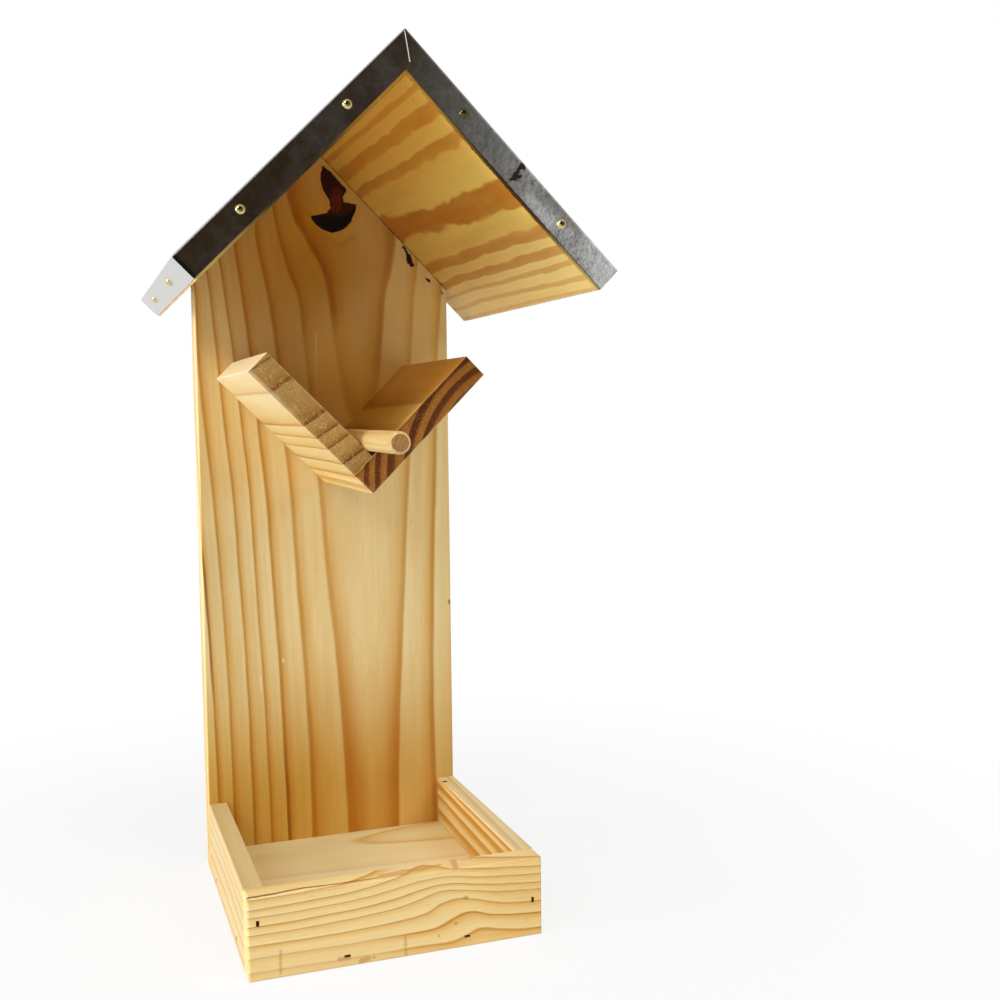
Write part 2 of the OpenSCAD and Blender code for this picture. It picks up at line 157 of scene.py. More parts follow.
class Net:
    """A node tree being wired, with short calls for the nodes used here."""

    def __init__(self, tree):
        self.tree = tree

    def node(self, kind, inputs=(), **settings):
        """A new node with its settings, and inputs fed by name or number."""
        made = self.tree.nodes.new(kind)
        for name, value in settings.items():
            setattr(made, name, value)
        for key, value in dict(inputs).items():
            self.feed(made.inputs[key], value)
        return made

    def feed(self, socket, value):
        if isinstance(value, bpy.types.NodeSocket):
            self.tree.links.new(value, socket)
        elif socket.type == "RGBA":
            socket.default_value = (*value[:3], 1)
        else:
            socket.default_value = value

    def math(self, operation, *values, clamp=False):
        return self.node("ShaderNodeMath", enumerate(values), operation=operation,
                         use_clamp=clamp).outputs[0]

    def chain(self, operation, first, *others):
        """One number from several, worked out from the left."""
        for other in others:
            first = self.math(operation, first, other)
        return first

    def plus(self, *values):
        return self.chain("ADD", *values)

    def minus(self, first, second):
        return self.math("SUBTRACT", first, second)

    def times(self, *values):
        return self.chain("MULTIPLY", *values)

    def most(self, *values):
        return self.chain("MAXIMUM", *values)

    def least(self, *values):
        return self.chain("MINIMUM", *values)

    def vector(self, operation, *values):
        made = self.node("ShaderNodeVectorMath", enumerate(values), operation=operation)
        number = operation in ("DOT_PRODUCT", "LENGTH")
        return made.outputs["Value" if number else "Vector"]

    def scale(self, vector, factor):
        return self.node("ShaderNodeVectorMath", {0: vector, "Scale": factor},
                         operation="SCALE").outputs["Vector"]

    def joined(self, x, y, z):
        return self.node("ShaderNodeCombineXYZ", enumerate((x, y, z))).outputs[0]

    def split(self, vector):
        return self.node("ShaderNodeSeparateXYZ", {0: vector}).outputs

    def remap(self, value, low, high, new_low=0.0, new_high=1.0, smooth=True):
        made = self.node("ShaderNodeMapRange", enumerate((value, low, high, new_low, new_high)),
                         interpolation_type="SMOOTHSTEP" if smooth else "LINEAR")
        return made.outputs[0]

    def blend(self, factor, first, second):
        """One number that goes from first to second."""
        return self.node("ShaderNodeMix", {0: factor, 2: first, 3: second},
                         data_type="FLOAT").outputs[0]

    def paint(self, factor, below, above, kind="MIX"):
        """A colour laid over another."""
        return self.node("ShaderNodeMix", {0: factor, 6: below, 7: above}, data_type="RGBA",
                         blend_type=kind).outputs[2]

    def noise(self, place, size=1.0, detail=2.0, rough=0.5):
        """Noise at a place, with one size or with a size for each axis."""
        if isinstance(size, tuple):
            place, size = self.vector("MULTIPLY", place, size), 1.0
        inputs = {"Vector": place, "Scale": size, "Detail": detail, "Roughness": rough}
        return self.node("ShaderNodeTexNoise", inputs).outputs["Fac"]

    def colour_noise(self, place, size):
        """Noise with a number of its own for each axis."""
        return self.noise(place, size).node.outputs["Color"]

    def curve(self, value, points, low, high, new_low, new_high):
        """A number read off a line through points, between the given ends."""
        made = self.node("ShaderNodeFloatCurve")
        line = made.mapping.curves[0]
        scaled = sorted(
            ((x - low) / (high - low), (y - new_low) / (new_high - new_low)) for x, y in points)
        scaled = [p for p in scaled if 0 <= p[0] <= 1]
        while len(line.points) < len(scaled):
            line.points.new(0.5, 0.5)
        for point, place in zip(line.points, scaled):
            point.location = place
            point.handle_type = "VECTOR"
        made.mapping.use_clip = False
        made.mapping.update()
        share = self.math("DIVIDE", self.minus(value, low), high - low, clamp=True)
        self.feed(made.inputs["Value"], share)
        return self.plus(self.times(made.outputs[0], new_high - new_low), new_low)

    def shade(self, colour, amount):
        """A colour made lighter or darker by a number."""
        return self.paint(1.0, colour, self.joined(amount, amount, amount), "MULTIPLY")

    def group(self, tree, **values):
        """The outputs of a node group, its inputs named with _ for a space."""
        inputs = {name.replace("_", " "): value for name, value in values.items()}
        return self.node("ShaderNodeGroup", inputs, node_tree=tree).outputs


def node_group(name, inputs, outputs):
    """An empty shader node group and its net, with its sockets named by kind."""
    tree = bpy.data.node_groups.new(name, "ShaderNodeTree")
    kinds = {"value": "NodeSocketFloat", "vector": "NodeSocketVector", "colour": "NodeSocketColor"}
    for side, sockets in (("INPUT", inputs), ("OUTPUT", outputs)):
        for kind, labels in sockets.items():
            for label in labels:
                tree.interface.new_socket(label, in_out=side, socket_type=kinds[kind])
    net = Net(tree)
    return tree, net, net.node("NodeGroupInput").outputs, net.node("NodeGroupOutput").inputs


# Effects that several finishes share

def wood_grain_group():
    """Colour, roughness and height of wood from its ring number and place."""
    tree, net, given, gives = node_group(
        "Wood grain",
        {"value": ("Ring", "Across", "Depth", "Along", "Seed", "End", "End Lines", "Face Rings",
                   "Smoothness", "Late Start", "Late Full", "Late Strength", "Line Start",
                   "Line Full", "Line Strength", "Edge", "Flecks"),
         "colour": ("Pale", "Base", "Late", "Dark", "End Tint")},
        {"colour": ("Color",), "value": ("Roughness", "Height")})
    # The count changes in the plain wood between two lines
    count = net.math("FLOOR", net.minus(given["Ring"], 0.35))
    part = net.minus(given["Ring"], count)
    chance = net.node("ShaderNodeTexWhiteNoise", {"W": net.plus(count, given["Seed"])},
                      noise_dimensions="1D")
    strength = net.times(
        net.remap(chance.outputs["Value"], 0.0, 1.0, 0.65, 1.0, False),
        net.blend(given["End"], given["Face Rings"],
                  net.math("MULTIPLY", given["End Lines"], 2.0, clamp=True)))

    # Fine fibres are long along the grain and narrow across it
    place = net.joined(given["Across"], given["Depth"], given["Along"])
    place = net.vector("ADD", place, net.scale((1.0, 1.0, 1.0), given["Seed"]))
    broad = net.noise(place, (0.085, 0.085, 0.012), 3.0, 0.6)
    fibre = net.noise(place, (1.5, 1.5, 0.03), 3.0, 0.6)
    hair = net.noise(place, (4.6, 4.6, 0.14), 2.0, 0.6)
    fleck = net.noise(place, (2.4, 2.4, 0.2), 1.0, 0.4)
    pore = net.node("ShaderNodeTexVoronoi", {"Vector": place, "Scale": 1.5},
                    voronoi_dimensions="2D")
    cluster = net.noise(place, 0.3)

    # A ring darkens towards its line and is plain again just past it
    fall = net.remap(part, net.plus(1.0, given["Edge"]), net.minus(1.0, given["Edge"]))
    after = net.times(net.remap(part, 1.35, 1.1), net.remap(part, 0.98, 1.1))
    patch = net.noise(place, (0.22, 0.22, 0.035))
    late = net.times(net.remap(part, given["Late Start"], given["Late Full"]),
                     given["Late Strength"], fall, strength,
                     net.remap(hair, 0.3, 0.6, 0.88, 1.0),
                     net.remap(patch, 0.34, 0.66, 1.15, 0.85))
    line = net.times(net.remap(part, given["Line Start"], given["Line Full"]),
                     given["Line Strength"], fall, strength,
                     net.remap(fibre, 0.25, 0.6, 0.75, 1.0))

    colour = net.paint(net.times(after, 0.4), given["Base"], given["Pale"])
    colour = net.paint(late, colour, given["Late"])
    colour = net.paint(line, colour, given["Dark"])
    colour = net.paint(net.remap(broad, 0.40, 0.75, 0.0, 0.22), colour, given["Late"])
    light = net.plus(net.remap(fibre, 0.2, 0.8, 0.95, 1.04, False),
                     net.remap(hair, 0.2, 0.8, -0.035, 0.035, False))
    colour = net.shade(colour, light)
    specks = net.remap(fleck, 0.71, 0.79, 0.0, 0.3)
    colour = net.paint(specks, colour, given["Dark"])

    ends = net.paint(1.0, colour, given["End Tint"], "MULTIPLY")
    stripe = net.most(line, net.times(late, 0.5))
    ends = net.paint(net.times(stripe, given["End Lines"]), ends, tone(66, 34, 12))
    mottle = net.remap(net.noise(place, 0.9, 3.0, 0.6), 0.3, 0.7, 0.8, 1.12, False)
    ends = net.shade(ends, mottle)
    few = net.remap(cluster, 0.45, 0.62, 1.0, 0.6, False)
    pores = net.remap(net.split(pore.outputs["Color"])[0], few, net.plus(few, 0.05))
    pores = net.times(pores, net.remap(pore.outputs["Distance"], 0.36, 0.14))
    ends = net.paint(net.times(pores, given["Flecks"]), ends, given["Pale"])
    colour = net.paint(given["End"], colour, ends)

    rough = net.plus(given["Smoothness"], net.remap(fibre, 0.2, 0.8, -0.05, 0.07, False))
    rough = net.minus(rough, net.times(line, 0.06))
    rough = net.math("ADD", rough, net.times(given["End"], 0.16), clamp=True)
    height = net.plus(net.times(fibre, 0.5), net.times(hair, 0.35))
    height = net.minus(height, net.times(specks, 0.8))
    net.feed(gives["Color"], colour)
    net.feed(gives["Roughness"], rough)
    net.feed(gives["Height"], height)
    return tree


def line_mark_group():
    """A mask along a straight mark from one place on a face to another."""
    tree, net, given, gives = node_group(
        "Line mark",
        {"value": ("Across", "Along", "Half Width", "Softness"), "vector": ("From", "To")},
        {"value": ("Mask",)})
    place = net.joined(given["Across"], given["Along"], 0.0)
    run = net.vector("SUBTRACT", given["To"], given["From"])
    off = net.vector("SUBTRACT", place, given["From"])
    share = net.math("DIVIDE", net.vector("DOT_PRODUCT", off, run),
                     net.vector("DOT_PRODUCT", run, run), clamp=True)
    gap = net.vector("LENGTH", net.vector("SUBTRACT", off, net.scale(run, share)))
    outer = net.plus(given["Half Width"], given["Softness"])
    net.feed(gives["Mask"], net.remap(gap, outer, given["Half Width"]))
    return tree


def arris_group():
    """A mask on the long and short arrises of a board, broken up by noise."""
    tree, net, given, gives = node_group(
        "Arris wear", {"value": ("Across", "Depth", "Along", "Reach"), "vector": ("Size",)},
        {"value": ("Mask",)})
    gaps = [net.least(net.math("ABSOLUTE", given[name]),
                      net.math("ABSOLUTE", net.minus(length, given[name])))
            for name, length in zip(("Across", "Depth", "Along"), net.split(given["Size"]))]
    low = net.least(gaps[0], gaps[1])
    high = net.most(gaps[0], gaps[1])
    middle = net.most(low, net.least(high, gaps[2]))
    place = net.joined(given["Across"], given["Depth"], given["Along"])
    patch = net.noise(place, 0.35, 3.0, 0.6)
    reach = net.times(given["Reach"], net.remap(patch, 0.3, 0.7, 0.5, 1.3))
    net.feed(gives["Mask"], net.remap(middle, reach, 0.0))
    return tree


def weathered_metal_group():
    """Spangle and brown film on a metal coat, with roughness and relief."""
    tree, net, given, gives = node_group(
        "Weathered metal",
        {"vector": ("Place",), "colour": ("Coat", "Film"),
         "value": ("Film Amount", "Spangle", "Smoothness")},
        {"colour": ("Color",), "value": ("Roughness", "Height")})
    place = given["Place"]
    bent = net.vector("ADD", place, net.scale(net.colour_noise(place, 0.3), 3.0))
    cells = net.node("ShaderNodeTexVoronoi", {"Vector": bent, "Scale": 0.45})
    cell = net.split(cells.outputs["Color"])[0]
    film = net.noise(place, 0.075, 5.0, 0.62)
    fine = net.noise(place, 0.9, 4.0, 0.65)
    amount = net.math("MULTIPLY", net.plus(net.remap(film, 0.36, 0.62, 0.0, 0.11), 0.905),
                      given["Film Amount"], clamp=True)
    colour = net.paint(amount, given["Coat"], given["Film"])
    mottle = net.plus(net.minus(cell, 0.5), net.times(net.minus(fine, 0.5), 4.0))
    colour = net.shade(colour, net.plus(net.times(mottle, given["Spangle"]), 1.0))
    rough = net.plus(given["Smoothness"], net.times(amount, 0.12))
    rough = net.math("ADD", rough, net.times(mottle, 0.03), clamp=True)
    wave = net.noise(place, 0.035)
    crisp = net.most(net.minus(given["Spangle"], 0.06), 0.0)
    crinkle = net.times(net.noise(place, 0.55, 3.0, 0.6), crisp)
    height = net.plus(net.times(wave, 3.0), net.times(fine, 0.12), net.times(cell, 0.1),
                      net.times(crinkle, 40.0))
    net.feed(gives["Color"], colour)
    net.feed(gives["Roughness"], rough)
    net.feed(gives["Height"], height)
    return tree


BUMP_STRENGTH = 0.6
SEALER_IOR, SEALER_SPECULAR = 1.45, 0.2
ARRIS_REACH = 0.9
GROUPS = {}


def shared(name):
    """A shared effect, built the first time that it is asked for."""
    makers = {"grain": wood_grain_group, "mark": line_mark_group, "arris": arris_group,
              "metal": weathered_metal_group}
    if name not in GROUPS:
        GROUPS[name] = makers[name]()
    return GROUPS[name]


# Boards

def ring_look(late_start, late_full, late_strength, line_start, line_full, line_strength, edge):
    """How a ring darkens, as shares of the way from one ring line to the next."""
    return {"Late Start": late_start, "Late Full": late_full, "Late Strength": late_strength,
            "Line Start": line_start, "Line Full": line_full, "Line Strength": line_strength,
            "Edge": edge}


SOFT_RINGS = ring_look(0.48, 0.93, 0.74, 0.80, 0.93, 0.60, 0.045)
BAND_RINGS = ring_look(0.66, 0.73, 0.9, 0.69, 0.85, 0.5, 0.035)
FINE_RINGS = ring_look(0.42, 0.95, 0.70, 0.84, 0.95, 0.74, 0.035)
STRIPE_RINGS = ring_look(0.30, 0.82, 0.92, 0.50, 0.92, 0.6, 0.05)
END_RINGS = ring_look(0.36, 0.70, 0.75, 0.42, 0.70, 1.0, 0.04)
FAINT_RINGS = ring_look(0.50, 0.95, 0.42, 0.82, 0.94, 0.30, 0.05)


class Board:
    """Where a board's grain runs, and its rings as read on the face seen most.

    Each station is a distance along the grain and the (across, ring number)
    pairs there. Ring lines are at whole numbers, dark below and pale above.
    Behind the face the rings go straight in, lean, arch or circle a pith.
    """
    lean, arch, pith, cloud = 0.0, None, None, 0.0
    rings, face_rings = SOFT_RINGS, 1.0
    end_tint, end_lines, flecks = (0.62, 0.55, 0.46), 0.5, 0.3
    tint, worn = (1, 1, 1), 0.15
    late = dark = marks = None

    def __init__(self, node, corner, axes, size, stations, ring_top, span, seed, **looks):
        self.node, self.corner, self.size = node, Vector(corner), size
        self.axes = [Vector(axis) for axis in axes]
        self.stations, self.ring_top, self.span, self.seed = stations, ring_top, span, seed
        for name, value in looks.items():
            setattr(self, name, value)


def board_place(net, board):
    """Across, depth and along of the point being shaded, in millimetres."""
    across, depth, along = board.axes
    turned = Matrix((across, depth, along)).transposed()
    flip = 1.0 if turned.determinant() > 0 else -1.0
    turned = Matrix((across, depth, along * flip)).transposed()
    coordinates = net.node("ShaderNodeTexCoord")
    mapping = net.node("ShaderNodeMapping", {"Vector": coordinates.outputs["Object"]},
                       vector_type="TEXTURE")
    mapping.inputs["Location"].default_value = board.corner
    mapping.inputs["Rotation"].default_value = turned.to_euler("XYZ")
    mapping.inputs["Scale"].default_value = (MM, MM, MM * flip)
    facing = net.vector("DOT_PRODUCT", coordinates.outputs["Normal"], tuple(along))
    end = net.remap(net.math("ABSOLUTE", facing), 0.75, 0.95)
    return (*net.split(mapping.outputs[0]), end)


def ring_number(net, board, across, depth, along):
    """The ring number, blended along the grain between the board's stations."""
    wander = net.noise(net.joined(across, depth, along), (0.05, 0.05, 0.022))
    across = net.plus(across, net.times(net.minus(wander, 0.5), 1.4))
    if board.pith:
        # Rings are circles round a pith in front of the face
        centre, gap = board.pith
        side = net.minus(across, centre)
        square = net.plus(net.times(side, side), net.times(depth, 2.0 * gap),
                          net.times(depth, depth))
        across = net.math("SQRT", net.most(square, 0.0))
    elif board.lean:
        across = net.minus(across, net.times(depth, board.lean))
    ring = None
    for place, points in board.stations:
        here = net.curve(across, points, *board.span, 0.0, board.ring_top)
        if ring is None:
            ring = here
        else:
            # A share rounded at both ends bends the lines softly at each station
            share = net.math("DIVIDE", net.minus(along, before), place - before)
            share = net.math("SMOOTH_MAX", share, 0.0, 0.8)
            share = net.math("SMOOTH_MIN", share, 1.0, 0.8)
            ring = net.plus(ring, net.times(net.minus(here, last), share))
        before, last = place, here
    if board.arch:
        # Deeper wood is further from the pith
        gap, spacing = board.arch
        deep = net.most(depth, 0.0)
        more = net.times(net.plus(deep, 2.0 * gap), deep)
        more = net.math("DIVIDE", more, spacing * spacing)
        ring = net.math("SQRT", net.plus(net.times(ring, ring), more))
    place = net.joined(across, depth, along)
    if board.cloud:
        # Wide rings have ragged outlines
        lobes = net.noise(place, (0.11, 0.11, 0.05), 2.0, 0.45)
        ring = net.plus(ring, net.times(net.minus(lobes, 0.5), board.cloud))
    tremble = net.noise(place, (0.9, 0.9, 0.06))
    return net.plus(ring, net.times(net.minus(tremble, 0.5), 0.03))


def new_material(name):
    """A new material with its net and its shader."""
    material = bpy.data.materials.new(name)
    material.use_nodes = True
    return material, Net(material.node_tree), material.node_tree.nodes["Principled BSDF"]


def surface(net, shader, colour, rough, height, distance):
    """Feeds a shader its colour, its roughness and its height as bump."""
    net.feed(shader.inputs["Base Color"], colour)
    net.feed(shader.inputs["Roughness"], rough)
    bump = net.node("ShaderNodeBump", {"Strength": BUMP_STRENGTH, "Distance": distance,
                                       "Height": height})
    net.feed(shader.inputs["Normal"], bump.outputs[0])


def wood_material(board):
    """Clear sealed wood for one board."""
    pine = bpy.context.scene.feeder_pine
    material, net, shader = new_material(f"pine_{board.node}")
    *place, end = board_place(net, board)
    where = dict(zip(("Across", "Depth", "Along"), place))
    ring = ring_number(net, board, *place)
    pale, base, late = (
        [min(part * share, 1.0) for part, share in zip(colour, board.tint)]
        for colour in (pine.pale, pine.base, board.late or pine.late))
    grain = net.group(shared("grain"), Ring=ring, Seed=board.seed, End=end, Pale=pale, Base=base,
                      Late=late, Dark=board.dark or pine.dark, End_Tint=board.end_tint,
                      End_Lines=board.end_lines, Face_Rings=board.face_rings,
                      Smoothness=pine.roughness, Flecks=board.flecks, **where, **board.rings)
    wear = net.group(shared("arris"), Size=board.size, Reach=ARRIS_REACH, **where)[0]
    colour = net.paint(net.times(wear, board.worn), grain["Color"], pine.worn)
    face = Face(net, place, ring, colour, grain["Height"])
    if board.marks:
        board.marks(net, pine, face)
    surface(net, shader, face.colour, grain["Roughness"], face.height, pine.grain_height)
    shader.inputs["IOR"].default_value = SEALER_IOR
    shader.inputs["Specular IOR Level"].default_value = SEALER_SPECULAR
    return material


def finish(material, *nodes):
    """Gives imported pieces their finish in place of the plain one."""
    for node in nodes:
        slots = frame["nodes"][node].material_slots
        if not slots:
            raise RuntimeError(f"{node} has no material slot")
        for slot in slots:
            slot.material = material


def strokes(net, across, along, *marks):
    """One mask for straight marks: from and to across and along, half width, softness."""
    masks = [
        net.group(shared("mark"), Across=across, Along=along, From=(*mark[:2], 0),
                  To=(*mark[2:4], 0), Half_Width=mark[4], Softness=mark[5])[0]
        for mark in marks]
    return net.most(*masks)


def ring_streak(net, ring, line, along, reach):
    """A mask on one ring line, over the stretch of the board that reach gives."""
    return net.times(net.remap(ring, line - 0.2, line - 0.05),
                     net.remap(ring, line + 0.04, line - 0.01),
                     net.remap(along, *reach[:2]), net.remap(along, reach[3], reach[2]))


class Face:
    """A board's colour and height, while marks are laid on the face seen most."""

    def __init__(self, net, place, ring, colour, height):
        self.net, self.ring, self.colour, self.height = net, ring, colour, height
        self.across, self.depth, self.along = place
        # A mask that keeps marks off the other faces
        self.front = net.remap(self.depth, 1.6, 0.7)

    def strokes(self, *marks):
        return strokes(self.net, self.across, self.along, *marks)

    def paint(self, above, *masks, kind="MIX"):
        """Lays a colour on, by the product of the masks."""
        self.colour = self.net.paint(self.net.times(*masks), self.colour, above, kind)

    def sink(self, mask, depth):
        self.height = self.net.minus(self.height, self.net.times(mask, depth))


AMBER = (0.70, 0.48, 0.12)
# Outline of the knot: across by along at each side, along by across below
KNOT_LEFT = [(0, 66), (3, 60), (4, 55.6), (7, 54.7), (10, 54.5), (13, 55.2), (15, 56), (17, 57.5),
             (19, 58.4), (22, 58.5), (24, 57), (25, 53), (25.6, 50), (27, 50.5), (29, 52),
             (31, 54.5), (32.2, 58), (33, 62), (40, 66)]
KNOT_RIGHT = [(0, 50), (3, 54), (4, 56), (7, 60), (10, 62.7), (13, 65.5), (14.4, 66), (15.5, 65),
              (17, 64.5), (19, 64.8), (19.8, 70.4), (22, 70), (24, 69.3), (27, 68), (29, 66.4),
              (31, 64), (32.2, 60.5), (33, 57), (40, 50)]
KNOT_BRIM = [(45, 25.6), (50, 25.2), (57, 25.4), (62, 25.6), (66, 24.4), (70.5, 20.4), (75, 19)]


def backboard_marks(net, pine, face):
    """Knot with its bark crescent under the ridge, painted shade under the roof and low down,
    painted light in two patches, marks by the roof and a pale scratch.
    """
    across, along, front, ring = face.across, face.along, face.front, face.ring
    # The middle of the grain is orange where it runs out at the bottom
    face.paint(tone(204, 136, 44), net.remap(ring, 1.56, 1.9), net.remap(ring, 2.03, 1.98),
               net.remap(along, 150.0, 270.0, 0.1, 0.6), front)
    # Painted shade: the wood is darkened to amber round the knot under the roof, low down where
    # the tray shades it (most on the left), and along part of the left edge
    offset = net.vector("SUBTRACT", net.joined(across, net.times(along, 0.8), 0.0),
                        (48.0, 30.0, 0.0))
    shade_under_roof = net.remap(net.vector("LENGTH", offset), 64.0, 6.0)
    low = net.times(net.remap(along, 205.0, 280.0, 0.0, 0.9),
                    net.remap(across, 100.0, 40.0, 0.8, 1.0))
    edge = net.times(face.strokes((4, 85, 10, 130, 6.0, 24.0)), 0.3)
    face.paint(AMBER, net.most(shade_under_roof, low, edge), front, kind="MULTIPLY")
    # A band below the knot is darkened to amber as well
    face.paint(AMBER, face.strokes((50, 45, 66, 48, 4.0, 15.0)), front, 0.3, kind="MULTIPLY")
    # Painted light: pale patches on the right and in the middle of the face
    lit = net.most(face.strokes((96, 62, 100, 100, 4.0, 18.0)),
                   net.times(face.strokes((60, 88, 68, 104, 5.0, 20.0)), 2.1))
    face.paint(tone(252, 214, 116), lit, front, 0.3)
    # The knot's ragged outline, the halo round it and the bent fibres under it
    ragged = net.noise(net.joined(across, along, 0.0), 0.5, 4.0, 0.7)
    shift = net.times(net.minus(ragged, 0.5), 1.6)
    side = net.plus(across, shift)
    gaps = (net.minus(side, net.curve(along, KNOT_LEFT, 0, 40, 40, 80)),
            net.minus(net.curve(along, KNOT_RIGHT, 0, 40, 40, 80), side))
    inside = net.times(*(net.remap(gap, -0.15, 0.25) for gap in gaps), front)
    face.paint(pine.late, *(net.remap(gap, -4.0, 0.0) for gap in gaps), front, 0.3)
    vee = face.strokes((56, 34, 63, 38, 0.2, 2.2), (63, 38, 68, 34, 0.2, 2.2),
                       (50, 26, 44, 21, 0.2, 1.8))
    face.paint(pine.dark, vee, front, 0.3)
    # The knot is brown at heart, umber round it and black below its brim
    heart = face.strokes((61.4, 15.5, 61.2, 21.5, 1.4, 1.6))
    grainy = net.noise(net.joined(across, net.times(along, 0.3), 0.0), 1.4, 3.0, 0.6)
    brown = net.paint(net.remap(grainy, 0.35, 0.65), tone(74, 22, 3), tone(120, 46, 12))
    umber = net.paint(net.remap(grainy, 0.35, 0.7), pine.knot, tone(72, 26, 5))
    knot = net.paint(net.times(heart, 0.85), umber, brown)
    brim = net.curve(across, KNOT_BRIM, 45, 75, 15, 30)
    black = net.remap(net.minus(along, brim), -0.5, 0.4)
    face.paint(net.paint(black, knot, tone(2, 1, 1)), inside)
    soot = strokes(
        net, net.plus(across, net.times(shift, 2.2)), along,
        (91.4, 37.4, 93.0, 40.0, 0.3, 0.6), (93.2, 40.6, 95.0, 45.2, 0.6, 0.6),
        (93.6, 41.6, 94.2, 43.6, 1.1, 0.5), (101.8, 51.2, 103.2, 52.4, 0.22, 0.4),
        (108.6, 56.6, 109.2, 57.8, 0.1, 0.5))
    face.paint(pine.knot, soot, front)
    # A dark seam runs where the right roof board meets the face
    seam = face.strokes((55.5, 0.0, 111.0, 55.5, 0.18, 0.5))
    face.paint(pine.crack, seam, net.remap(ragged, 0.3, 0.6, 0.45, 0.95), front)
    # Two ring lines carry a dark streak, low on the left
    streak = net.most(ring_streak(net, ring, 8, along, (160.0, 176.0, 215.0, 240.0)),
                      ring_streak(net, ring, 4, along, (240.0, 280.0, 320.0, 330.0)))
    face.paint(tone(134, 70, 10), streak, front, 0.6)
    scratch = net.times(
        face.strokes((51.0, 76.0, 51.1, 100.0, 0.12, 0.3), (33.5, 218.5, 33.5, 219.5, 0.3, 0.4),
                     (23.4, 225.0, 23.6, 232.0, 0.12, 0.35)), front)
    face.paint(pine.worn, scratch, 0.6)
    face.paint(tone(140, 60, 30), face.strokes((110.2, 197.4, 110.4, 198.6, 0.35, 0.4)), front,
               0.7)
    face.sink(inside, 2.5)
    face.sink(scratch, 0.8)


def roof_marks(net, pine, face):
    """Painted shade towards the ridge and along the front end under the sheet, and painted light
    towards the eave.
    """
    across = face.across
    # Painted shade: the underside is darker towards the ridge
    face.paint((1.0, 0.93, 0.36), net.remap(across, 96.0, 52.0, 0.0, 0.8), face.front,
               kind="MULTIPLY")
    # Painted shadow: a dark line along the front end, where the sheet's flange shades the wood
    ragged = net.noise(net.joined(across, 0.0, 0.0), 0.35, 4.0, 0.7)
    reach = net.remap(ragged, 0.4, 0.7, 0.45, 1.25)
    face.paint(tone(52, 26, 9), net.remap(net.minus(face.along, reach), 0.25, -0.15), 0.92)
    # Painted light: paler towards the eave
    face.paint(tone(255, 226, 132), net.remap(across, 60.0, 94.0, 0.0, 0.5))
    # Painted shade: more amber towards the ridge
    face.paint(tone(236, 178, 70), net.remap(across, 44.0, 6.0, 0.0, 0.5))
    specks = face.strokes((7.6, 11.0, 8.0, 11.2, 0.15, 0.4), (43.0, 70.0, 43.4, 70.0, 0.12, 0.4),
                          (3.0, 8.0, 3.4, 8.6, 0.15, 0.4))
    face.paint(pine.crack, specks, 0.5)


def cradle_left_marks(net, pine, face):
    """The outer face is paler towards the upper edge, and the top face has a painted sheen."""
    face.paint(tone(255, 240, 200), net.remap(face.across, 34.0, 2.0, 0.0, 0.3), face.front)
    # Painted sheen on the top face and its arrises
    face.paint(pine.worn, net.remap(face.across, 0.7, 0.3), 0.66)


def cradle_right_marks(net, pine, face):
    """Painted shade darkens the inner face to amber, and the face is darker in a band that runs to
    the back.
    """
    inner = net.remap(face.depth, 8.6, 9.3)
    centre = net.remap(face.along, 0.0, 89.0, 24.0, 20.0, False)
    gap = net.math("ABSOLUTE", net.minus(face.across, centre))
    # Painted shade, where the left board shades the inner face
    face.paint((0.80, 0.69, 0.40), inner, 0.95, kind="MULTIPLY")
    face.paint(pine.dark, inner, net.remap(gap, 5.0, 0.5, 0.0, 0.22))


def floor_marks(net, pine, face):
    """Painted light makes the floor paler towards the front."""
    face.paint(tone(255, 232, 190), net.remap(face.across, 16.0, 48.0, 0.0, 0.5))


def right_rail_marks(net, pine, face):
    """The top is planed pale."""
    face.paint(tone(255, 236, 184), net.remap(face.across, 0.7, 0.3), 0.42)


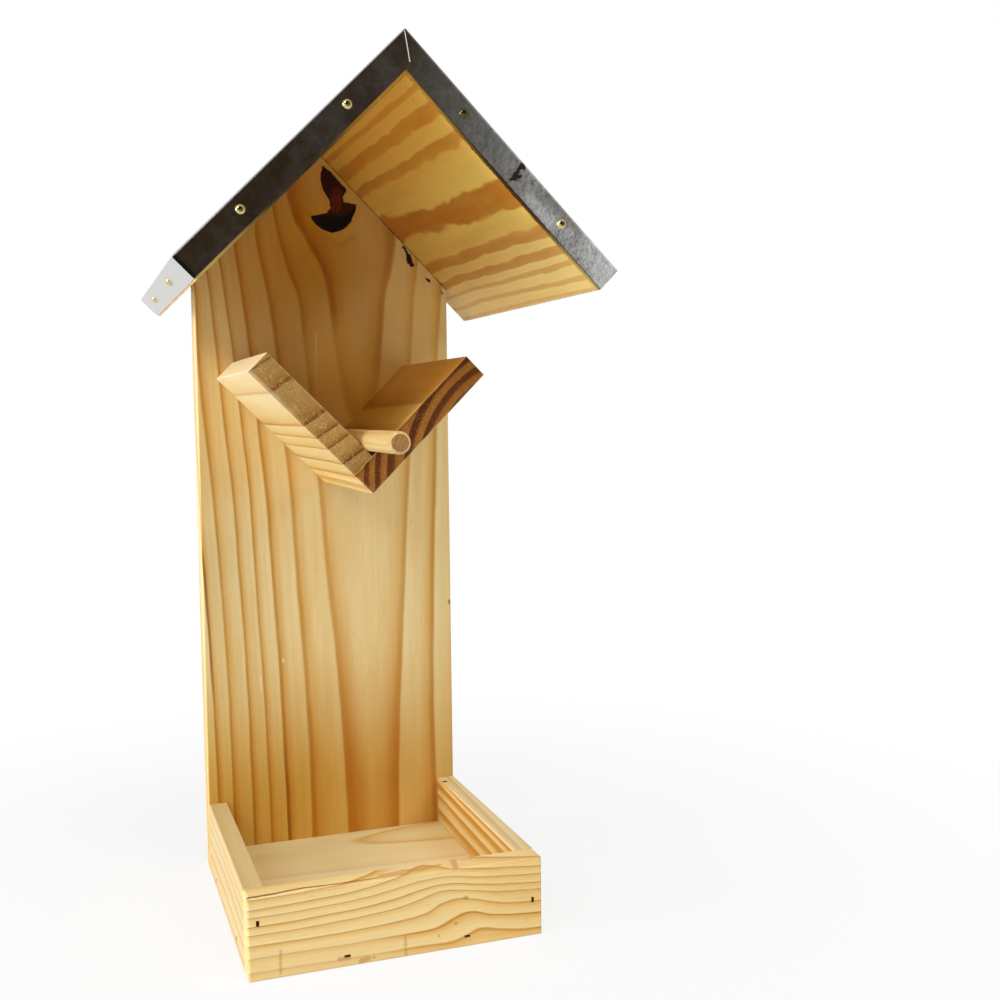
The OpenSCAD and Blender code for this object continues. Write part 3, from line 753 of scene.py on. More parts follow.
def front_rail_marks(net, pine, face):
    """Upright scratches, stains and small marks on the front rail, a crack on its top, and painted
    shade towards its right end.
    """
    across, depth, along, front = face.across, face.depth, face.along, face.front
    ragged = net.noise(net.joined(across, depth, along), 0.9, 3.0, 0.6)
    shift = net.times(net.minus(ragged, 0.5), 1.4)
    side = net.plus(along, shift)
    rise = net.plus(depth, net.times(shift, 0.35))
    top = net.remap(across, 0.75, 0.3)
    face.paint(tone(244, 214, 152), net.remap(face.ring, 2.4, 2.15),
               net.remap(along, 64.0, 44.0), front, 0.55)
    # Painted shade: the rail is darker towards its right end
    face.paint((0.97, 0.92, 0.80), net.remap(along, 50.0, 105.0, 0.0, 0.8), kind="MULTIPLY")
    scratch = strokes(net, side, across, (11.5, 20.5, 11.3, 28.6, 0.2, 0.6),
                      (57.0, 22.5, 57.2, 29.6, 0.2, 0.7))
    face.paint(pine.dark, scratch, front, 0.4)
    tan = strokes(
        net, along, rise, (50.0, 3.0, 56.0, 3.6, 1.4, 1.2), (58.0, 5.5, 65.0, 3.8, 0.5, 1.2),
        (65.0, 3.8, 72.0, 6.0, 0.5, 1.2), (77.0, 1.0, 78.5, 9.0, 0.5, 1.2))
    face.paint(tone(204, 146, 88), tan, top, 0.6)
    crack = strokes(
        net, along, rise, (0.0, 1.0, 10.0, 1.3, 0.4, 0.4), (10.0, 1.3, 15.0, 2.2, 0.4, 0.4),
        (15.0, 2.2, 20.0, 2.8, 0.36, 0.4), (20.0, 2.8, 28.0, 2.2, 0.3, 0.4),
        (28.0, 2.2, 40.0, 2.0, 0.26, 0.3), (40.0, 2.0, 48.0, 2.0, 0.15, 0.3))
    face.paint(tone(132, 58, 30), crack, top, 0.9)
    face.sink(net.times(crack, top), 0.8)
    stain = strokes(
        net, side, across, (40.5, 29.0, 43.0, 28.6, 0.5, 1.0), (32.5, 27.0, 36.0, 27.0, 0.3, 0.9),
        (76.3, 20.8, 76.8, 20.8, 0.3, 0.4), (45.0, 28.4, 45.4, 28.6, 0.25, 0.4),
        (80.2, 11.5, 80.9, 11.6, 0.45, 0.5), (70.0, 24.3, 70.1, 24.8, 0.25, 0.3))
    face.paint(pine.dark, stain, front, 0.5)


# Grain tables

def stations(numbers, *rows):
    """Stations with the same ring numbers, each row a place and where the numbers lie."""
    return [(place, [*zip(across, numbers)]) for place, *across in rows]


BACKBOARD_STATIONS = [
    (20, [(33.5, 2), (39.5, 1), (60, 0.3), (88, 1), (99, 2), (110, 3)]),
    (30, [(15, 4), (25.2, 3), (35, 2), (43, 1), (66, 0.3), (88, 1), (99.5, 2), (110, 3)]),
    (40, [(8.5, 5), (16.8, 4), (26.5, 3), (37, 2), (49, 1), (67, 0.3), (87.5, 1), (98.3, 2),
          (109.5, 3)]),
    (50, [(5, 6), (11.2, 5), (18, 4), (28.5, 3), (39.5, 2), (55, 1), (68, 0.34), (85.5, 1),
          (97, 2), (109, 3)]),
    (60, [(6, 6), (12, 5), (19, 4), (30, 3), (43.5, 2), (56.5, 1), (70, 0.34), (82.5, 1),
          (96, 2), (108.5, 3)]),
    (85, [(0, 7), (8.2, 6), (15, 5), (21.5, 4), (33.5, 3), (46, 2), (59.5, 1), (70, 0.42),
          (80.5, 1), (94, 2), (106, 3), (118, 4)]),
    (125, [(-7, 8), (3.3, 7), (12, 6), (19.3, 5), (25.8, 4), (36.5, 3), (49.5, 2), (62, 1.22),
           (71, 1.14), (80, 1.22), (93.4, 2), (105.2, 3), (117, 4)]),
    (150, [(-9, 9), (-1.5, 8), (5, 7), (13.5, 6), (20.8, 5), (27.5, 4), (38, 3), (51, 2),
           (55, 1.7), (71.4, 1.2), (88, 1.7), (91.8, 2), (104.5, 3), (117, 4)]),
    (200, [(-6, 9), (1.8, 8), (8.2, 7), (16.3, 6), (23, 5), (30.3, 4), (41, 3), (55.5, 2),
           (60, 1.72), (72, 1.3), (84.5, 1.72), (88.3, 2), (102.6, 3), (115, 4)]),
    (240, [(-5, 9), (3, 8), (9.5, 7), (18, 6), (25.2, 5), (32, 4), (43.5, 3), (58.5, 2),
           (64, 1.74), (72.5, 1.45), (82, 1.74), (86.4, 2), (102.2, 3), (115, 4)]),
    (300, [(-4, 9), (4.5, 8), (10.5, 7), (19, 6), (26.5, 5), (34.2, 4), (45, 3), (61.5, 2),
           (69, 1.76), (73, 1.66), (79, 1.76), (84, 2), (103.3, 3), (115, 4)]),
]

ROOF_RIGHT_STATIONS = stations(
    (4.5, 4, 3.7, 3, 2.7, 2, 1.7, 1, 0.84, 1, 1.7, 2, 2.6, 3, 3.7, 4, 4.8, 5, 6),
    (5, 0, 4.3, 6.5, 10.8, 17, 24, 28, 46, 51, 57.3, 66, 72, 75, 80, 82.5, 85, 90, 91.8, 96.5),
    (40, -1, 3.1, 5.6, 10.3, 16.3, 22.5, 27, 43, 50, 56, 65.4, 70.2, 74, 79.3, 82.3, 84.6, 90,
     91.5, 96.5),
    (80, -1.4, 2.8, 5.2, 9.7, 15.6, 21.2, 26, 42.3, 48, 53.3, 64.6, 69.8, 73.6, 78.6, 82, 84, 88.6,
     90, 96.2),
    (110, -2, 2.3, 4.7, 9, 15, 20, 24.4, 37.6, 45, 51, 64, 69.4, 73, 77.8, 81.5, 83.3, 88.8, 90.3,
     96.5),
    (145, -2, 2, 4.4, 9, 14.6, 19.4, 23.6, 34.6, 43, 49.8, 63.4, 69, 74, 80, 82.4, 84.2, 89.6, 91,
     97))

ROOF_LEFT_STATIONS = [
    (5, [(-4, 6), (6, 5), (17, 4), (29, 3), (38, 2.7), (43, 2), (52, 1.3), (64, 1.2), (73, 1.75),
         (77, 2), (84, 3), (90, 4), (95, 5), (101, 6)]),
    (60, [(-6, 6), (4, 5), (14, 4), (25, 3), (35, 2.7), (39, 2), (48, 1.1), (55, 0.8), (62, 1.1),
          (72, 1.75), (76, 2), (83, 3), (90, 4), (96, 5), (102, 6)]),
    (145, [(-7, 6), (2, 5), (12, 4), (22, 3), (31, 2.7), (34, 2), (44, 1), (54, 0.5), (63, 1),
           (71, 1.75), (74, 2), (82, 3), (89, 4), (95, 5), (101, 6)]),
]

# The lines go on at the same distance over the top, and to 33 below
FRONT_RAIL_STATIONS = stations(
    (8, 7, 6, 5, 4, 3, 2, 1, 0.2),
    *((place, first - 3.6, first, *others, 33) for place, first, *others in (
        (0, 4.3, 7, 10.3, 13.4, 17.3, 21.8, 27), (20, 3.9, 6.85, 10.2, 13.3, 17.5, 21.8, 27),
        (35, 3.2, 6.4, 9.7, 12.8, 17.3, 21.8, 27), (45, 2, 5.5, 9.1, 12.3, 17, 21.8, 27),
        (54, 0, 4, 7.9, 11.5, 16.5, 21.8, 27), (60, -1.5, 2.8, 6.6, 10.3, 16.1, 21.8, 27),
        (66, -2.5, 2.3, 5.4, 8.3, 14.8, 21.6, 27.1), (70, -2, 2, 4.9, 7.4, 12.5, 21, 27.2),
        (75, -0.2, 2.4, 5.1, 7.5, 11.3, 18.5, 27.3),
        (80, 0.3, 3.3, 5.9, 8.4, 11.4, 16.7, 25.9), (85, 0.9, 4.2, 6.9, 9.4, 12.8, 17.2, 23.6),
        (90, 1.5, 4.8, 7.8, 10.4, 14.4, 19.3, 24.2), (96, 2.1, 5.3, 8.5, 11.4, 16, 20.3, 25.8),
        (103, 2.9, 5.9, 9.2, 12, 16.6, 21, 27), (111, 3.6, 6.5, 10, 12.6, 17, 21.7, 27.5))))

RIGHT_RAIL_STATIONS = stations(
    (6, 5, 4.7, 4, 3.65, 3, 2.7, 2, 1.65, 1, 0.2, 0),
    (0, -3, 1.2, 2.2, 4.6, 7.6, 10.6, 13, 16.4, 19.6, 23.5, 29, 33),
    (50, -4, 0.6, 1.6, 3.5, 6.5, 9.5, 12, 16, 20, 23, 28.6, 33),
    (95, -5, -0.6, 0.4, 2, 5, 7.5, 9.5, 14.5, 17, 21.6, 28, 33))

LEFT_RAIL_STATIONS = stations(
    (6, 5, 4, 3, 2, 1, 0),
    (0, -3, 2, 6.5, 12, 18.5, 25, 33),
    (50, -3, 1, 5.2, 10.4, 17, 24, 33),
    (95, -3, 1.8, 6.8, 12.6, 19, 26, 33))

CRADLE_LEFT_STATIONS = stations(
    (0.1, 0.3, 1, 2, 2.7, 3, 4, 5, 6, 7, 8, 9, 9.8),
    (0, -6, -0.6, 0.5, 11, 24.5, 28.5, 35, 40.3, 48.2, 55, 58, 64, 70),
    (85, -6, -0.8, 0.2, 10.3, 23.3, 27.8, 33.5, 40, 47.3, 56.5, 61.5, 66, 70))

# Distances from a pith line in front of the outer face
CRADLE_RIGHT_STATIONS = stations(
    (0.3, 1, 1.55, 2, 3, 4, 5, 6, 7, 8),
    (0, 0, 9.2, 18, 23.2, 33.1, 42.8, 48.9, 54.2, 60, 68),
    (85, 0, 9.8, 18.6, 24, 34.4, 44, 50, 55.2, 61, 69))

FLOOR_STATIONS = [
    (0, [(-6, 1.3), (13, 1.1), (30, 1.4), (38, 1.72), (41.3, 2), (62, 3), (80, 4), (100, 5)]),
    (50, [(-6, 1.2), (13, 1.03), (30, 1.3), (40.5, 1.72), (44.5, 2), (64, 3), (82, 4), (100, 5)]),
    (58, [(-6, 1.6), (9, 1), (13, 0.93), (17, 1), (30, 1.3), (41, 1.72), (44.9, 2), (64, 3),
          (82, 4), (100, 5)]),
    (68, [(-6, 1.7), (4.6, 1), (8, 0.74), (13, 0.6), (16.5, 0.74), (20, 1), (41.5, 1.72),
          (45.5, 2), (65, 3), (82, 4), (100, 5)]),
    (80, [(-7, 2), (2, 1), (6, 0.73), (12, 0.45), (19, 0.73), (22.5, 1), (42, 1.72), (46, 2),
          (65, 3), (83, 4), (100, 5)]),
    (96, [(-9, 2), (-1, 1), (3.5, 0.72), (12, 0.3), (21.5, 0.73), (25, 1), (43, 1.72), (46.5, 2),
          (66, 3), (84, 4), (100, 5)]),
]

DOWEL_STATIONS = stations(
    (0, 1, 2, 3, 4, 5, 7.8),
    (0, -8, -3.2, -1.4, 0.4, 1.9, 3.4, 8),
    (45, -8, -3.4, -1.8, 0.1, 2.2, 3.1, 8))


def boards():
    """Every wooden piece with its grain, keyed by node."""
    tip = Vector((CRADLE_TIP_X, CRADLE_LOW.y, CRADLE_LOW.z))
    left_top = tip + Vector(UP_LEFT) * CRADLE_LEFT_WIDTH * MM
    dowel_middle = (DOWEL_LOW + DOWEL_HIGH) / 2
    roof = {"size": (ROOF_SLOPE, PLANK, ROOF_DEPTH), "ring_top": 7.0, "arch": (40.0, 10.0),
            "rings": BAND_RINGS, "tint": (1.05, 1.04, 1.0), "cloud": 0.3, "marks": roof_marks,
            "late": tone(198, 119, 31), "dark": tone(172, 100, 24)}
    rail = {"size": (RAIL_HEIGHT, SIDE_RAIL_THICK, SIDE_RAIL_LENGTH), "ring_top": 7.0,
            "span": (-8.0, 38.0)}
    made = [
        Board("backboard", (BACK_LOW.x, BACK_LOW.y, BACK_HIGH.z), (RIGHT, BACK, DOWN),
              (BOARD_WIDTH, BOARD_THICK, BACK_HEIGHT), BACKBOARD_STATIONS, 10.0, (-10.0, 120.0),
              3.0, arch=(30.0, 9.0), worn=0.0, tint=(1.05, 1.10, 1.22), marks=backboard_marks),
        Board("roof_board_right", RIDGE, (DOWN_RIGHT, UP_RIGHT, BACK),
              stations=ROOF_RIGHT_STATIONS, span=(-5.0, 110.0), seed=11.0, **roof),
        Board("roof_board_left", RIDGE, (DOWN_LEFT, UP_LEFT, BACK),
              stations=ROOF_LEFT_STATIONS, span=(-8.0, 112.0), seed=23.0, **roof),
        Board("cradle_board_left", left_top, (DOWN_RIGHT, UP_RIGHT, BACK),
              (CRADLE_LEFT_WIDTH, PLANK, CRADLE_DEPTH), CRADLE_LEFT_STATIONS, 10.0, (-6.0, 70.0),
              37.0, lean=0.2, rings=FINE_RINGS, end_tint=tone(201, 175, 141), end_lines=0.7,
              flecks=0.7, tint=(0.94, 0.98, 1.03), dark=tone(158, 94, 26),
              marks=cradle_left_marks),
        Board("cradle_board_right", tip, (UP_RIGHT, UP_LEFT, BACK),
              (CRADLE_RIGHT_WIDTH, PLANK, CRADLE_DEPTH), CRADLE_RIGHT_STATIONS, 9.0, (0.0, 70.0),
              41.0, pith=(50.0, 42.0), rings=END_RINGS, face_rings=0.55, flecks=0.2,
              end_tint=tone(172, 129, 81), end_lines=0.78, marks=cradle_right_marks),
        Board("tray_floor", (FLOOR_LOW.x, BACK_LOW.y, FLOOR_HIGH.z), (AHEAD, DOWN, RIGHT),
              (FLOOR_DEPTH, PLANK, FLOOR_WIDTH), FLOOR_STATIONS, 6.0, (-10.0, 110.0), 53.0,
              arch=(35.0, 10.0), rings=FAINT_RINGS, tint=(1.02, 1.18, 1.42), marks=floor_marks),
        Board("tray_rail_front", (FRONT_LOW.x, FRONT_LOW.y, FRONT_HIGH.z), (DOWN, BACK, RIGHT),
              (RAIL_HEIGHT, PLANK, BOARD_WIDTH), FRONT_RAIL_STATIONS, 9.0, (-8.0, 38.0), 61.0,
              lean=0.25, rings=FINE_RINGS, tint=(1.13, 1.16, 1.25), end_tint=(1.0, 0.98, 0.95),
              end_lines=0.0, flecks=0.0, marks=front_rail_marks),
        Board("tray_rail_right", (RIGHT_LOW.x, RIGHT_LOW.y, RIGHT_HIGH.z), (DOWN, RIGHT, BACK),
              stations=RIGHT_RAIL_STATIONS, seed=71.0, lean=0.9, rings=STRIPE_RINGS,
              tint=(0.86, 0.87, 0.93), marks=right_rail_marks, **rail),
        Board("tray_rail_left", (LEFT_HIGH.x, RIGHT_LOW.y, LEFT_HIGH.z), (DOWN, LEFT, BACK),
              stations=LEFT_RAIL_STATIONS, seed=83.0, lean=0.3, rings=FAINT_RINGS,
              tint=(0.86, 0.9, 1.03), **rail),
        Board("perch_dowel", (dowel_middle.x, DOWEL_LOW.y, dowel_middle.z), (RIGHT, UP, BACK),
              (DOWEL_WIDTH, DOWEL_WIDTH, DOWEL_LENGTH), DOWEL_STATIONS, 8.0, (-8.0, 8.0), 97.0,
              lean=0.35, rings=FAINT_RINGS, worn=0.0, tint=(0.84, 0.87, 0.96),
              end_tint=tone(198, 166, 144))]
    return {board.node: board for board in made}


def finish_boards(*nodes):
    table = boards()
    for node in nodes:
        finish(wood_material(table[node]), node)


# How thick the brown film is, from the left eave to the right one; it is partly tarnish and partly
# a painted dark reflection
FILM_POINTS = [(-80, 1), (0, 0.94), (4, 0.9), (14, 0.76), (30, 0.48), (42, 0.33), (58, 0.18),
               (80, 0)]


def sheet_wear(net, place, normal):
    """Film, spangle, painted highlights and pale places, their tone, and dark places on the sheet.

    The brown film lies on the front flanges, thickest on the left one and by the ridge; it is
    partly tarnish and partly a painted dark reflection.
    """
    facing = net.remap(net.times(net.split(normal)[1], -1.0), 0.6, 0.95)
    run, depth, rise = net.split(place)
    blur = net.vector("SUBTRACT", net.colour_noise(place, 0.45), (0.5, 0.5, 0.5))
    pushed = net.split(net.vector("ADD", place, net.scale(blur, 4.0)))
    scuff = strokes(net, pushed[0], pushed[2], (40.2, 282.6, 38.4, 279.6, 0.3, 1.2),
                    (38.6, 279.4, 37.0, 278.4, 0.8, 0.9))
    ring = strokes(net, run, rise, (55.2, 264.2, 55.3, 264.3, 1.7, 1.6),
                   (50.5, 273.5, 60.5, 264.0, 1.0, 4.5))
    thick = net.most(net.curve(run, FILM_POINTS, -80, 80, 0, 1), scuff, net.times(ring, 0.5))
    film = net.plus(net.times(facing, thick), 0.03)
    bare = net.times(facing, net.minus(1.0, thick))
    spangle = net.plus(net.times(bare, 0.34), 0.05)
    # Painted highlights: a bright line along the ridge seam and a paler right end of the right
    # flange in place of its reflection; also a pale patch by the upper right nail
    seam = strokes(net, run, rise, (-0.3, 323.4, 1.25, 313.9, 0.05, 0.22))
    pale_side = strokes(net, run, rise, (43.0, 271.5, 50.5, 264.0, 0.5, 3.0))
    highlight_and_pale = net.most(seam, net.times(net.remap(run, 58.0, 72.0), 0.3), net.times(pale_side, 0.3))
    # Painted shadow: a dark line in the gap where the front flange meets the eave flange
    slope = net.plus(net.times(run, -SIN45), net.times(net.minus(BACK_HEIGHT, rise), SIN45))
    fold_shadow = net.times(net.remap(slope, 96.2, 96.8), facing)
    dark = net.times(net.most(net.times(scuff, 0.6), net.times(fold_shadow, 0.8)), facing)
    # The cut edge along the bottom of the right flange is in shade
    under = net.remap(net.vector("DOT_PRODUCT", normal, DOWN_LEFT), 0.8, 0.95)
    dark = net.most(dark, net.times(under, net.remap(run, 2.0, 4.0, 0.0, 0.85)))
    # Painted highlight: the cut edge of the left flange is painted in the colour of the lit wood
    cut = net.remap(net.vector("DOT_PRODUCT", normal, DOWN_RIGHT), 0.8, 0.95)
    cut = net.times(cut, net.remap(depth, -74.4, -74.6))
    highlight_and_pale = net.most(net.times(highlight_and_pale, facing), cut)
    return film, spangle, (highlight_and_pale, net.paint(cut, tone(225, 226, 226), tone(240, 196, 140))), dark


def nail_wear(net, place, normal):
    """Heads get a painted dark reflection in the middle, where they face the front, and the upper
    right one is tarnished all over.
    """
    run, _, rise = net.split(place)
    # Painted dark reflection on the middle of each head
    middle = net.remap(net.times(net.split(normal)[1], -1.0), 0.80, 0.95)
    old = strokes(net, run, rise, (19.8, 298.6, 19.8, 298.7, 4.0, 1.0))
    dark = net.most(net.times(middle, 0.85), net.times(old, 0.6))
    return net.plus(0.15, net.times(old, 0.8)), 0.04, None, dark


def metal_material(name, colour, film, amount, rough, spangle=0.1, grain=0.00003, wear=None):
    """A metal coat with its wear, on object coordinates in millimetres."""
    material, net, shader = new_material(name)
    coordinates = net.node("ShaderNodeTexCoord")
    place = net.scale(coordinates.outputs["Object"], 1 / MM)
    if wear:
        amount, spangle, highlight_and_pale, dark = wear(net, place, coordinates.outputs["Normal"])
    worn = net.group(shared("metal"), Place=place, Coat=colour, Film=film, Film_Amount=amount,
                     Spangle=spangle, Smoothness=rough)
    shade = worn["Color"]
    shader.inputs["Metallic"].default_value = 1.0
    if wear:
        # Dark places: scuffs and tarnish, with painted shade and painted dark reflection
        shade = net.paint(dark, shade, tone(24, 24, 26))
        # Painted highlights and pale places, laid on as a colour that is not metallic
        if highlight_and_pale:
            mask, pale = highlight_and_pale
            shade = net.paint(mask, shade, pale)
            net.feed(shader.inputs["Metallic"], net.minus(1.0, mask))
    surface(net, shader, shade, worn["Roughness"], worn["Height"], grain)
    return material


# Operators, one for each piece or group of like pieces

class FEEDER_OT_backboard(bpy.types.Operator):
    """Finish the pointed backboard, with its knot"""
    bl_idname = "feeder.backboard"
    bl_label = "Backboard"

    def execute(self, context):
        finish_boards("backboard")
        return {"FINISHED"}


class FEEDER_OT_roof_boards(bpy.types.Operator):
    """Finish the two roof boards"""
    bl_idname = "feeder.roof_boards"
    bl_label = "Roof boards"

    def execute(self, context):
        finish_boards("roof_board_left", "roof_board_right")
        return {"FINISHED"}


class FEEDER_OT_cradle(bpy.types.Operator):
    """Finish the two boards of the V-shaped cradle"""
    bl_idname = "feeder.cradle"
    bl_label = "Cradle boards"

    def execute(self, context):
        finish_boards("cradle_board_left", "cradle_board_right")
        return {"FINISHED"}


class FEEDER_OT_perch(bpy.types.Operator):
    """Finish the dowel that the birds stand on"""
    bl_idname = "feeder.perch"
    bl_label = "Perch dowel"

    def execute(self, context):
        finish_boards("perch_dowel")
        return {"FINISHED"}


class FEEDER_OT_tray(bpy.types.Operator):
    """Finish the floor and the three rails of the tray"""
    bl_idname = "feeder.tray"
    bl_label = "Seed tray"

    def execute(self, context):
        finish_boards("tray_floor", "tray_rail_left", "tray_rail_right", "tray_rail_front")
        return {"FINISHED"}


class FEEDER_OT_roof_sheet(bpy.types.Operator):
    """Finish the folded zinc sheet on the roof"""
    bl_idname = "feeder.roof_sheet"
    bl_label = "Zinc roof sheet"

    def execute(self, context):
        metal = context.scene.feeder_metal
        zinc = metal_material("zinc_sheet", metal.zinc, metal.tarnish, 0.7,
                              metal.zinc_roughness, grain=0.00002, wear=sheet_wear)
        finish(zinc, "roof_sheet")
        return {"FINISHED"}


class FEEDER_OT_nails(bpy.types.Operator):
    """Finish the brass nails that hold the sheet"""
    bl_idname = "feeder.nails"
    bl_label = "Brass nails"

    def execute(self, context):
        metal = context.scene.feeder_metal
        brass = metal_material("brass_nails", metal.brass, tone(120, 104, 56), 0.15, 0.07,
                               wear=nail_wear)
        finish(brass, "front_flange_nails", "eave_nails_left", "eave_nails_right")
        return {"FINISHED"}


class FEEDER_OT_brads(bpy.types.Operator):
    """Finish the brads in the roof, the cradle and the tray"""
    bl_idname = "feeder.brads"
    bl_label = "Brads"

    def execute(self, context):
        metal = context.scene.feeder_metal
        wire = metal_material("brad_wire", metal.wire, tone(60, 40, 26), 0.8, 0.5, 0.05)
        finish(wire, "ridge_brads", "roof_to_board_brads", "cradle_joint_brads",
               "front_rail_brads", "front_floor_brads", "side_floor_brads", "back_rail_brads",
               "back_floor_brads", "rail_toe_brad")
        return {"FINISHED"}


class FEEDER_OT_screws(bpy.types.Operator):
    """Finish the wood screws of the cradle and the hanger"""
    bl_idname = "feeder.screws"
    bl_label = "Wood screws"

    def execute(self, context):
        metal = context.scene.feeder_metal
        plated = metal_material("plated_screws", metal.plated, tone(150, 140, 110), 0.6, 0.3, 0.05)
        finish(plated, "cradle_screws", "hanger_screws")
        return {"FINISHED"}


class FEEDER_OT_hanger(bpy.types.Operator):
    """Finish the keyhole hanger plate on the back"""
    bl_idname = "feeder.hanger"
    bl_label = "Hanger plate"

    def execute(self, context):
        metal = context.scene.feeder_metal
        steel = metal_material("hanger_plate", metal.plated, tone(140, 138, 128), 0.5, 0.36, 0.12)
        finish(steel, "hanger_plate")
        return {"FINISHED"}


# Stage

CAMERA_PLACE = Vector((-0.11077, -0.46542, 0.19926))
CAMERA_TURN = Vector((0.07070252, -0.02363038, 0.34838942))
SENSOR_WIDTH = 36
PANEL_TARGET = Vector((0, 0, 0.14))
# Name, place, size and whether metal reflects it
PANELS = (
    ("side", (-1.48, 0.0, 0.353), 0.69, True),
    ("key", (-0.85, -0.71, 0.94), 0.64, True),
    ("fill", (0.63, -0.90, 0.94), 0.64, False),
    ("top", (0.0, -0.59, 1.35), 0.64, False),
)
# The side in front that metal sees dim, and the angles where it ends
DIM_SIDE = Vector((-0.42, -0.88, 0.22)).normalized()
DIM_FROM, DIM_TO = math.radians(58), math.radians(36)


def soft_panel(name, place, size, power, shines):
    """A square lamp that shines at the middle of the feeder."""
    lamp = bpy.data.lights.new(name, "AREA")
    lamp.shape = "RECTANGLE"
    lamp.size = lamp.size_y = size
    lamp.energy = power
    item = bpy.data.objects.new(name, lamp)
    item.location = place
    item.visible_camera = False
    item.visible_glossy = shines
    item.rotation_mode = "QUATERNION"
    item.rotation_quaternion = (item.location - PANEL_TARGET).to_track_quat("Z", "Y")
    bpy.context.scene.collection.objects.link(item)


def camera():
    """The camera, where the photograph was taken from."""
    settings = bpy.context.scene.feeder_stage
    data = bpy.data.cameras.new("camera")
    data.lens = settings.lens
    data.sensor_width = SENSOR_WIDTH
    data.sensor_fit = "HORIZONTAL"
    data.clip_start, data.clip_end = 0.01, 50
    item = bpy.data.objects.new("camera", data)
    turn = Quaternion(CAMERA_TURN.normalized(), CAMERA_TURN.length).to_matrix().transposed()
    right, ahead, up = (turn @ Vector(axis) for axis in ((1, 0, 0), (0, 1, 0), (0, 0, 1)))
    pose = Matrix((right, up, -ahead)).transposed().to_4x4()
    pose.translation = CAMERA_PLACE
    item.matrix_world = pose
    bpy.context.scene.collection.objects.link(item)
    bpy.context.scene.camera = item


def seen_white(net):
    """1 for rays that should find the white background."""
    path = net.node("ShaderNodeLightPath").outputs
    return net.most(*(path[f"Is {kind} Ray"] for kind in ("Camera", "Glossy", "Transmission")))


def world():
    """White all round, with a dim side in front for the metal to reflect."""
    air = bpy.data.worlds.new("studio_air")
    air.use_nodes = True
    net = Net(air.node_tree)
    background = air.node_tree.nodes["Background"]
    path = net.node("ShaderNodeLightPath").outputs
    direction = net.node("ShaderNodeTexCoord").outputs["Generated"]
    facing = net.vector("DOT_PRODUCT", direction, tuple(DIM_SIDE))
    dim = net.remap(facing, math.cos(DIM_FROM), math.cos(DIM_TO))
    gloss = net.blend(dim, 0.95, 0.03)
    strength = net.blend(path["Is Glossy Ray"], bpy.context.scene.feeder_stage.air, gloss)
    seen = net.most(path["Is Camera Ray"], path["Is Transmission Ray"])
    net.feed(background.inputs["Strength"], net.blend(seen, strength, 1.0))
    background.inputs["Color"].default_value = (1, 1, 1, 1)
    bpy.context.scene.world = air


def floor():
    """A wide pale floor that keeps the shadow."""
    settings = bpy.context.scene.feeder_stage
    bpy.ops.mesh.primitive_plane_add(size=12, location=(0, 0, 0))
    plane = bpy.context.object
    plane.name = "studio_floor"
    material = bpy.data.materials.new("studio_floor")
    material.use_nodes = True
    net = Net(material.node_tree)
    nodes = material.node_tree.nodes
    nodes.remove(nodes["Principled BSDF"])
    matt = net.node("ShaderNodeBsdfDiffuse", {"Color": settings.floor})
    glow = net.node("ShaderNodeEmission", {"Color": (1, 1, 1), "Strength": 1.0})
    place = net.node("ShaderNodeTexCoord").outputs["Object"]
    share = net.remap(net.vector("LENGTH", place), 0.10, 0.40, 0.84, 1.0)
    mix = net.node("ShaderNodeMixShader", {0: net.times(seen_white(net), share),
                                           1: matt.outputs[0], 2: glow.outputs[0]})
    net.feed(nodes["Material Output"].inputs["Surface"], mix.outputs[0])
    plane.data.materials.append(material)


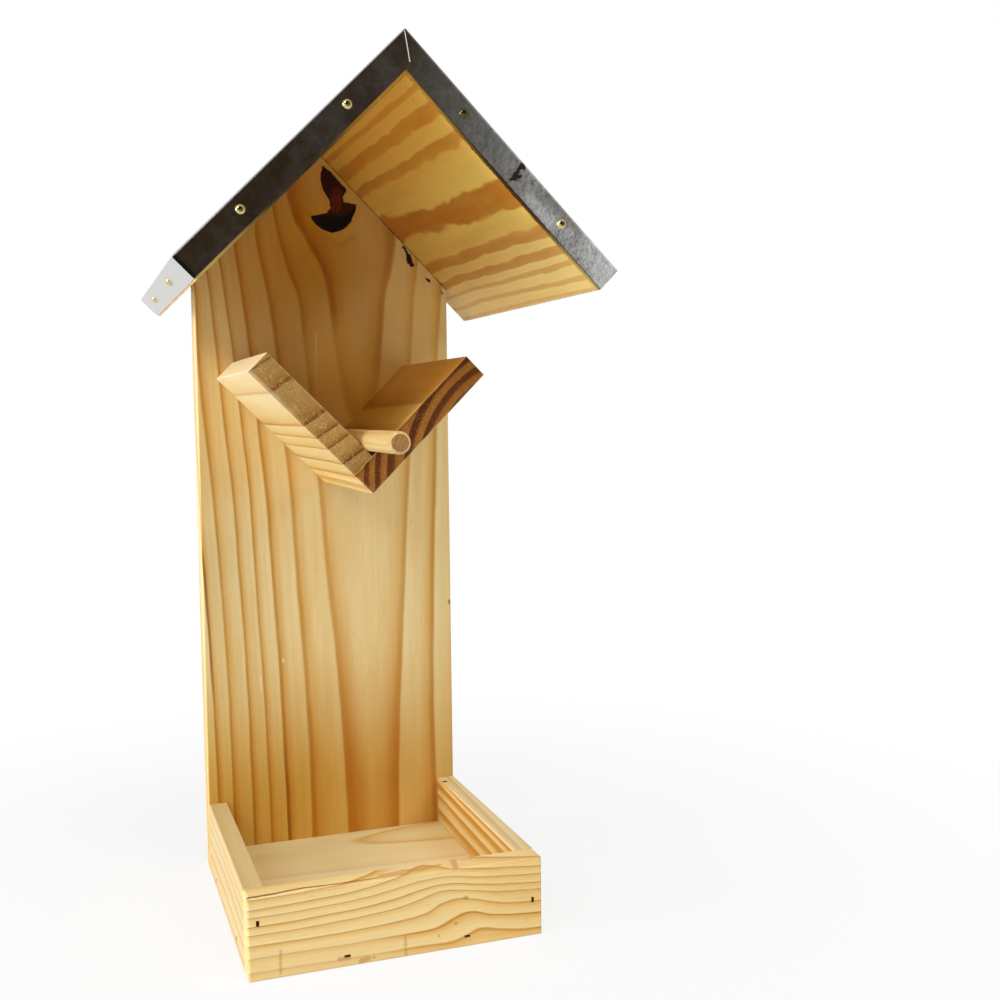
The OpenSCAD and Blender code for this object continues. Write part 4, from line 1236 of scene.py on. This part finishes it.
class FEEDER_OT_stage(bpy.types.Operator):
    """Set up the camera, the pale floor, the soft panels and the white air"""
    bl_idname = "feeder.stage"
    bl_label = "Stage"

    def execute(self, context):
        settings = context.scene.feeder_stage
        context.scene.view_settings.view_transform = "Standard"
        camera()
        world()
        floor()
        for name, place, size, shines in PANELS:
            soft_panel(f"{name}_panel", place, size, getattr(settings, name), shines)
        return {"FINISHED"}


PIECES = (
    FEEDER_OT_stage, FEEDER_OT_backboard, FEEDER_OT_roof_boards, FEEDER_OT_cradle,
    FEEDER_OT_perch, FEEDER_OT_tray, FEEDER_OT_roof_sheet, FEEDER_OT_nails, FEEDER_OT_brads,
    FEEDER_OT_screws, FEEDER_OT_hanger,
)


class FEEDER_PT_panel(bpy.types.Panel):
    """Everything that makes up the bird feeder's looks"""
    bl_label = "Bird Feeder"
    bl_idname = "FEEDER_PT_panel"
    bl_space_type = "VIEW_3D"
    bl_region_type = "UI"
    bl_category = "Bird Feeder"

    def draw(self, context):
        for piece in PIECES:
            self.layout.operator(piece.bl_idname)
        for name in ("feeder_pine", "feeder_metal", "feeder_stage"):
            settings = getattr(context.scene, name)
            box = self.layout.box()
            for setting in settings.bl_rna.properties.keys():
                if setting not in ("rna_type", "name"):
                    box.prop(settings, setting)


CLASSES = (FEEDER_PG_pine, FEEDER_PG_metal, FEEDER_PG_stage, *PIECES, FEEDER_PT_panel)


def register():
    for made in CLASSES:
        bpy.utils.register_class(made)
    bpy.types.Scene.feeder_pine = PointerProperty(type=FEEDER_PG_pine)
    bpy.types.Scene.feeder_metal = PointerProperty(type=FEEDER_PG_metal)
    bpy.types.Scene.feeder_stage = PointerProperty(type=FEEDER_PG_stage)


def unregister():
    del bpy.types.Scene.feeder_pine
    del bpy.types.Scene.feeder_metal
    del bpy.types.Scene.feeder_stage
    for made in reversed(CLASSES):
        bpy.utils.unregister_class(made)


def main():
    register()
    bpy.ops.feeder.stage()
    bpy.ops.feeder.backboard()
    bpy.ops.feeder.roof_boards()
    bpy.ops.feeder.cradle()
    bpy.ops.feeder.perch()
    bpy.ops.feeder.tray()
    bpy.ops.feeder.roof_sheet()
    bpy.ops.feeder.nails()
    bpy.ops.feeder.brads()
    bpy.ops.feeder.screws()
    bpy.ops.feeder.hanger()


if __name__ == "__main__":
    main()
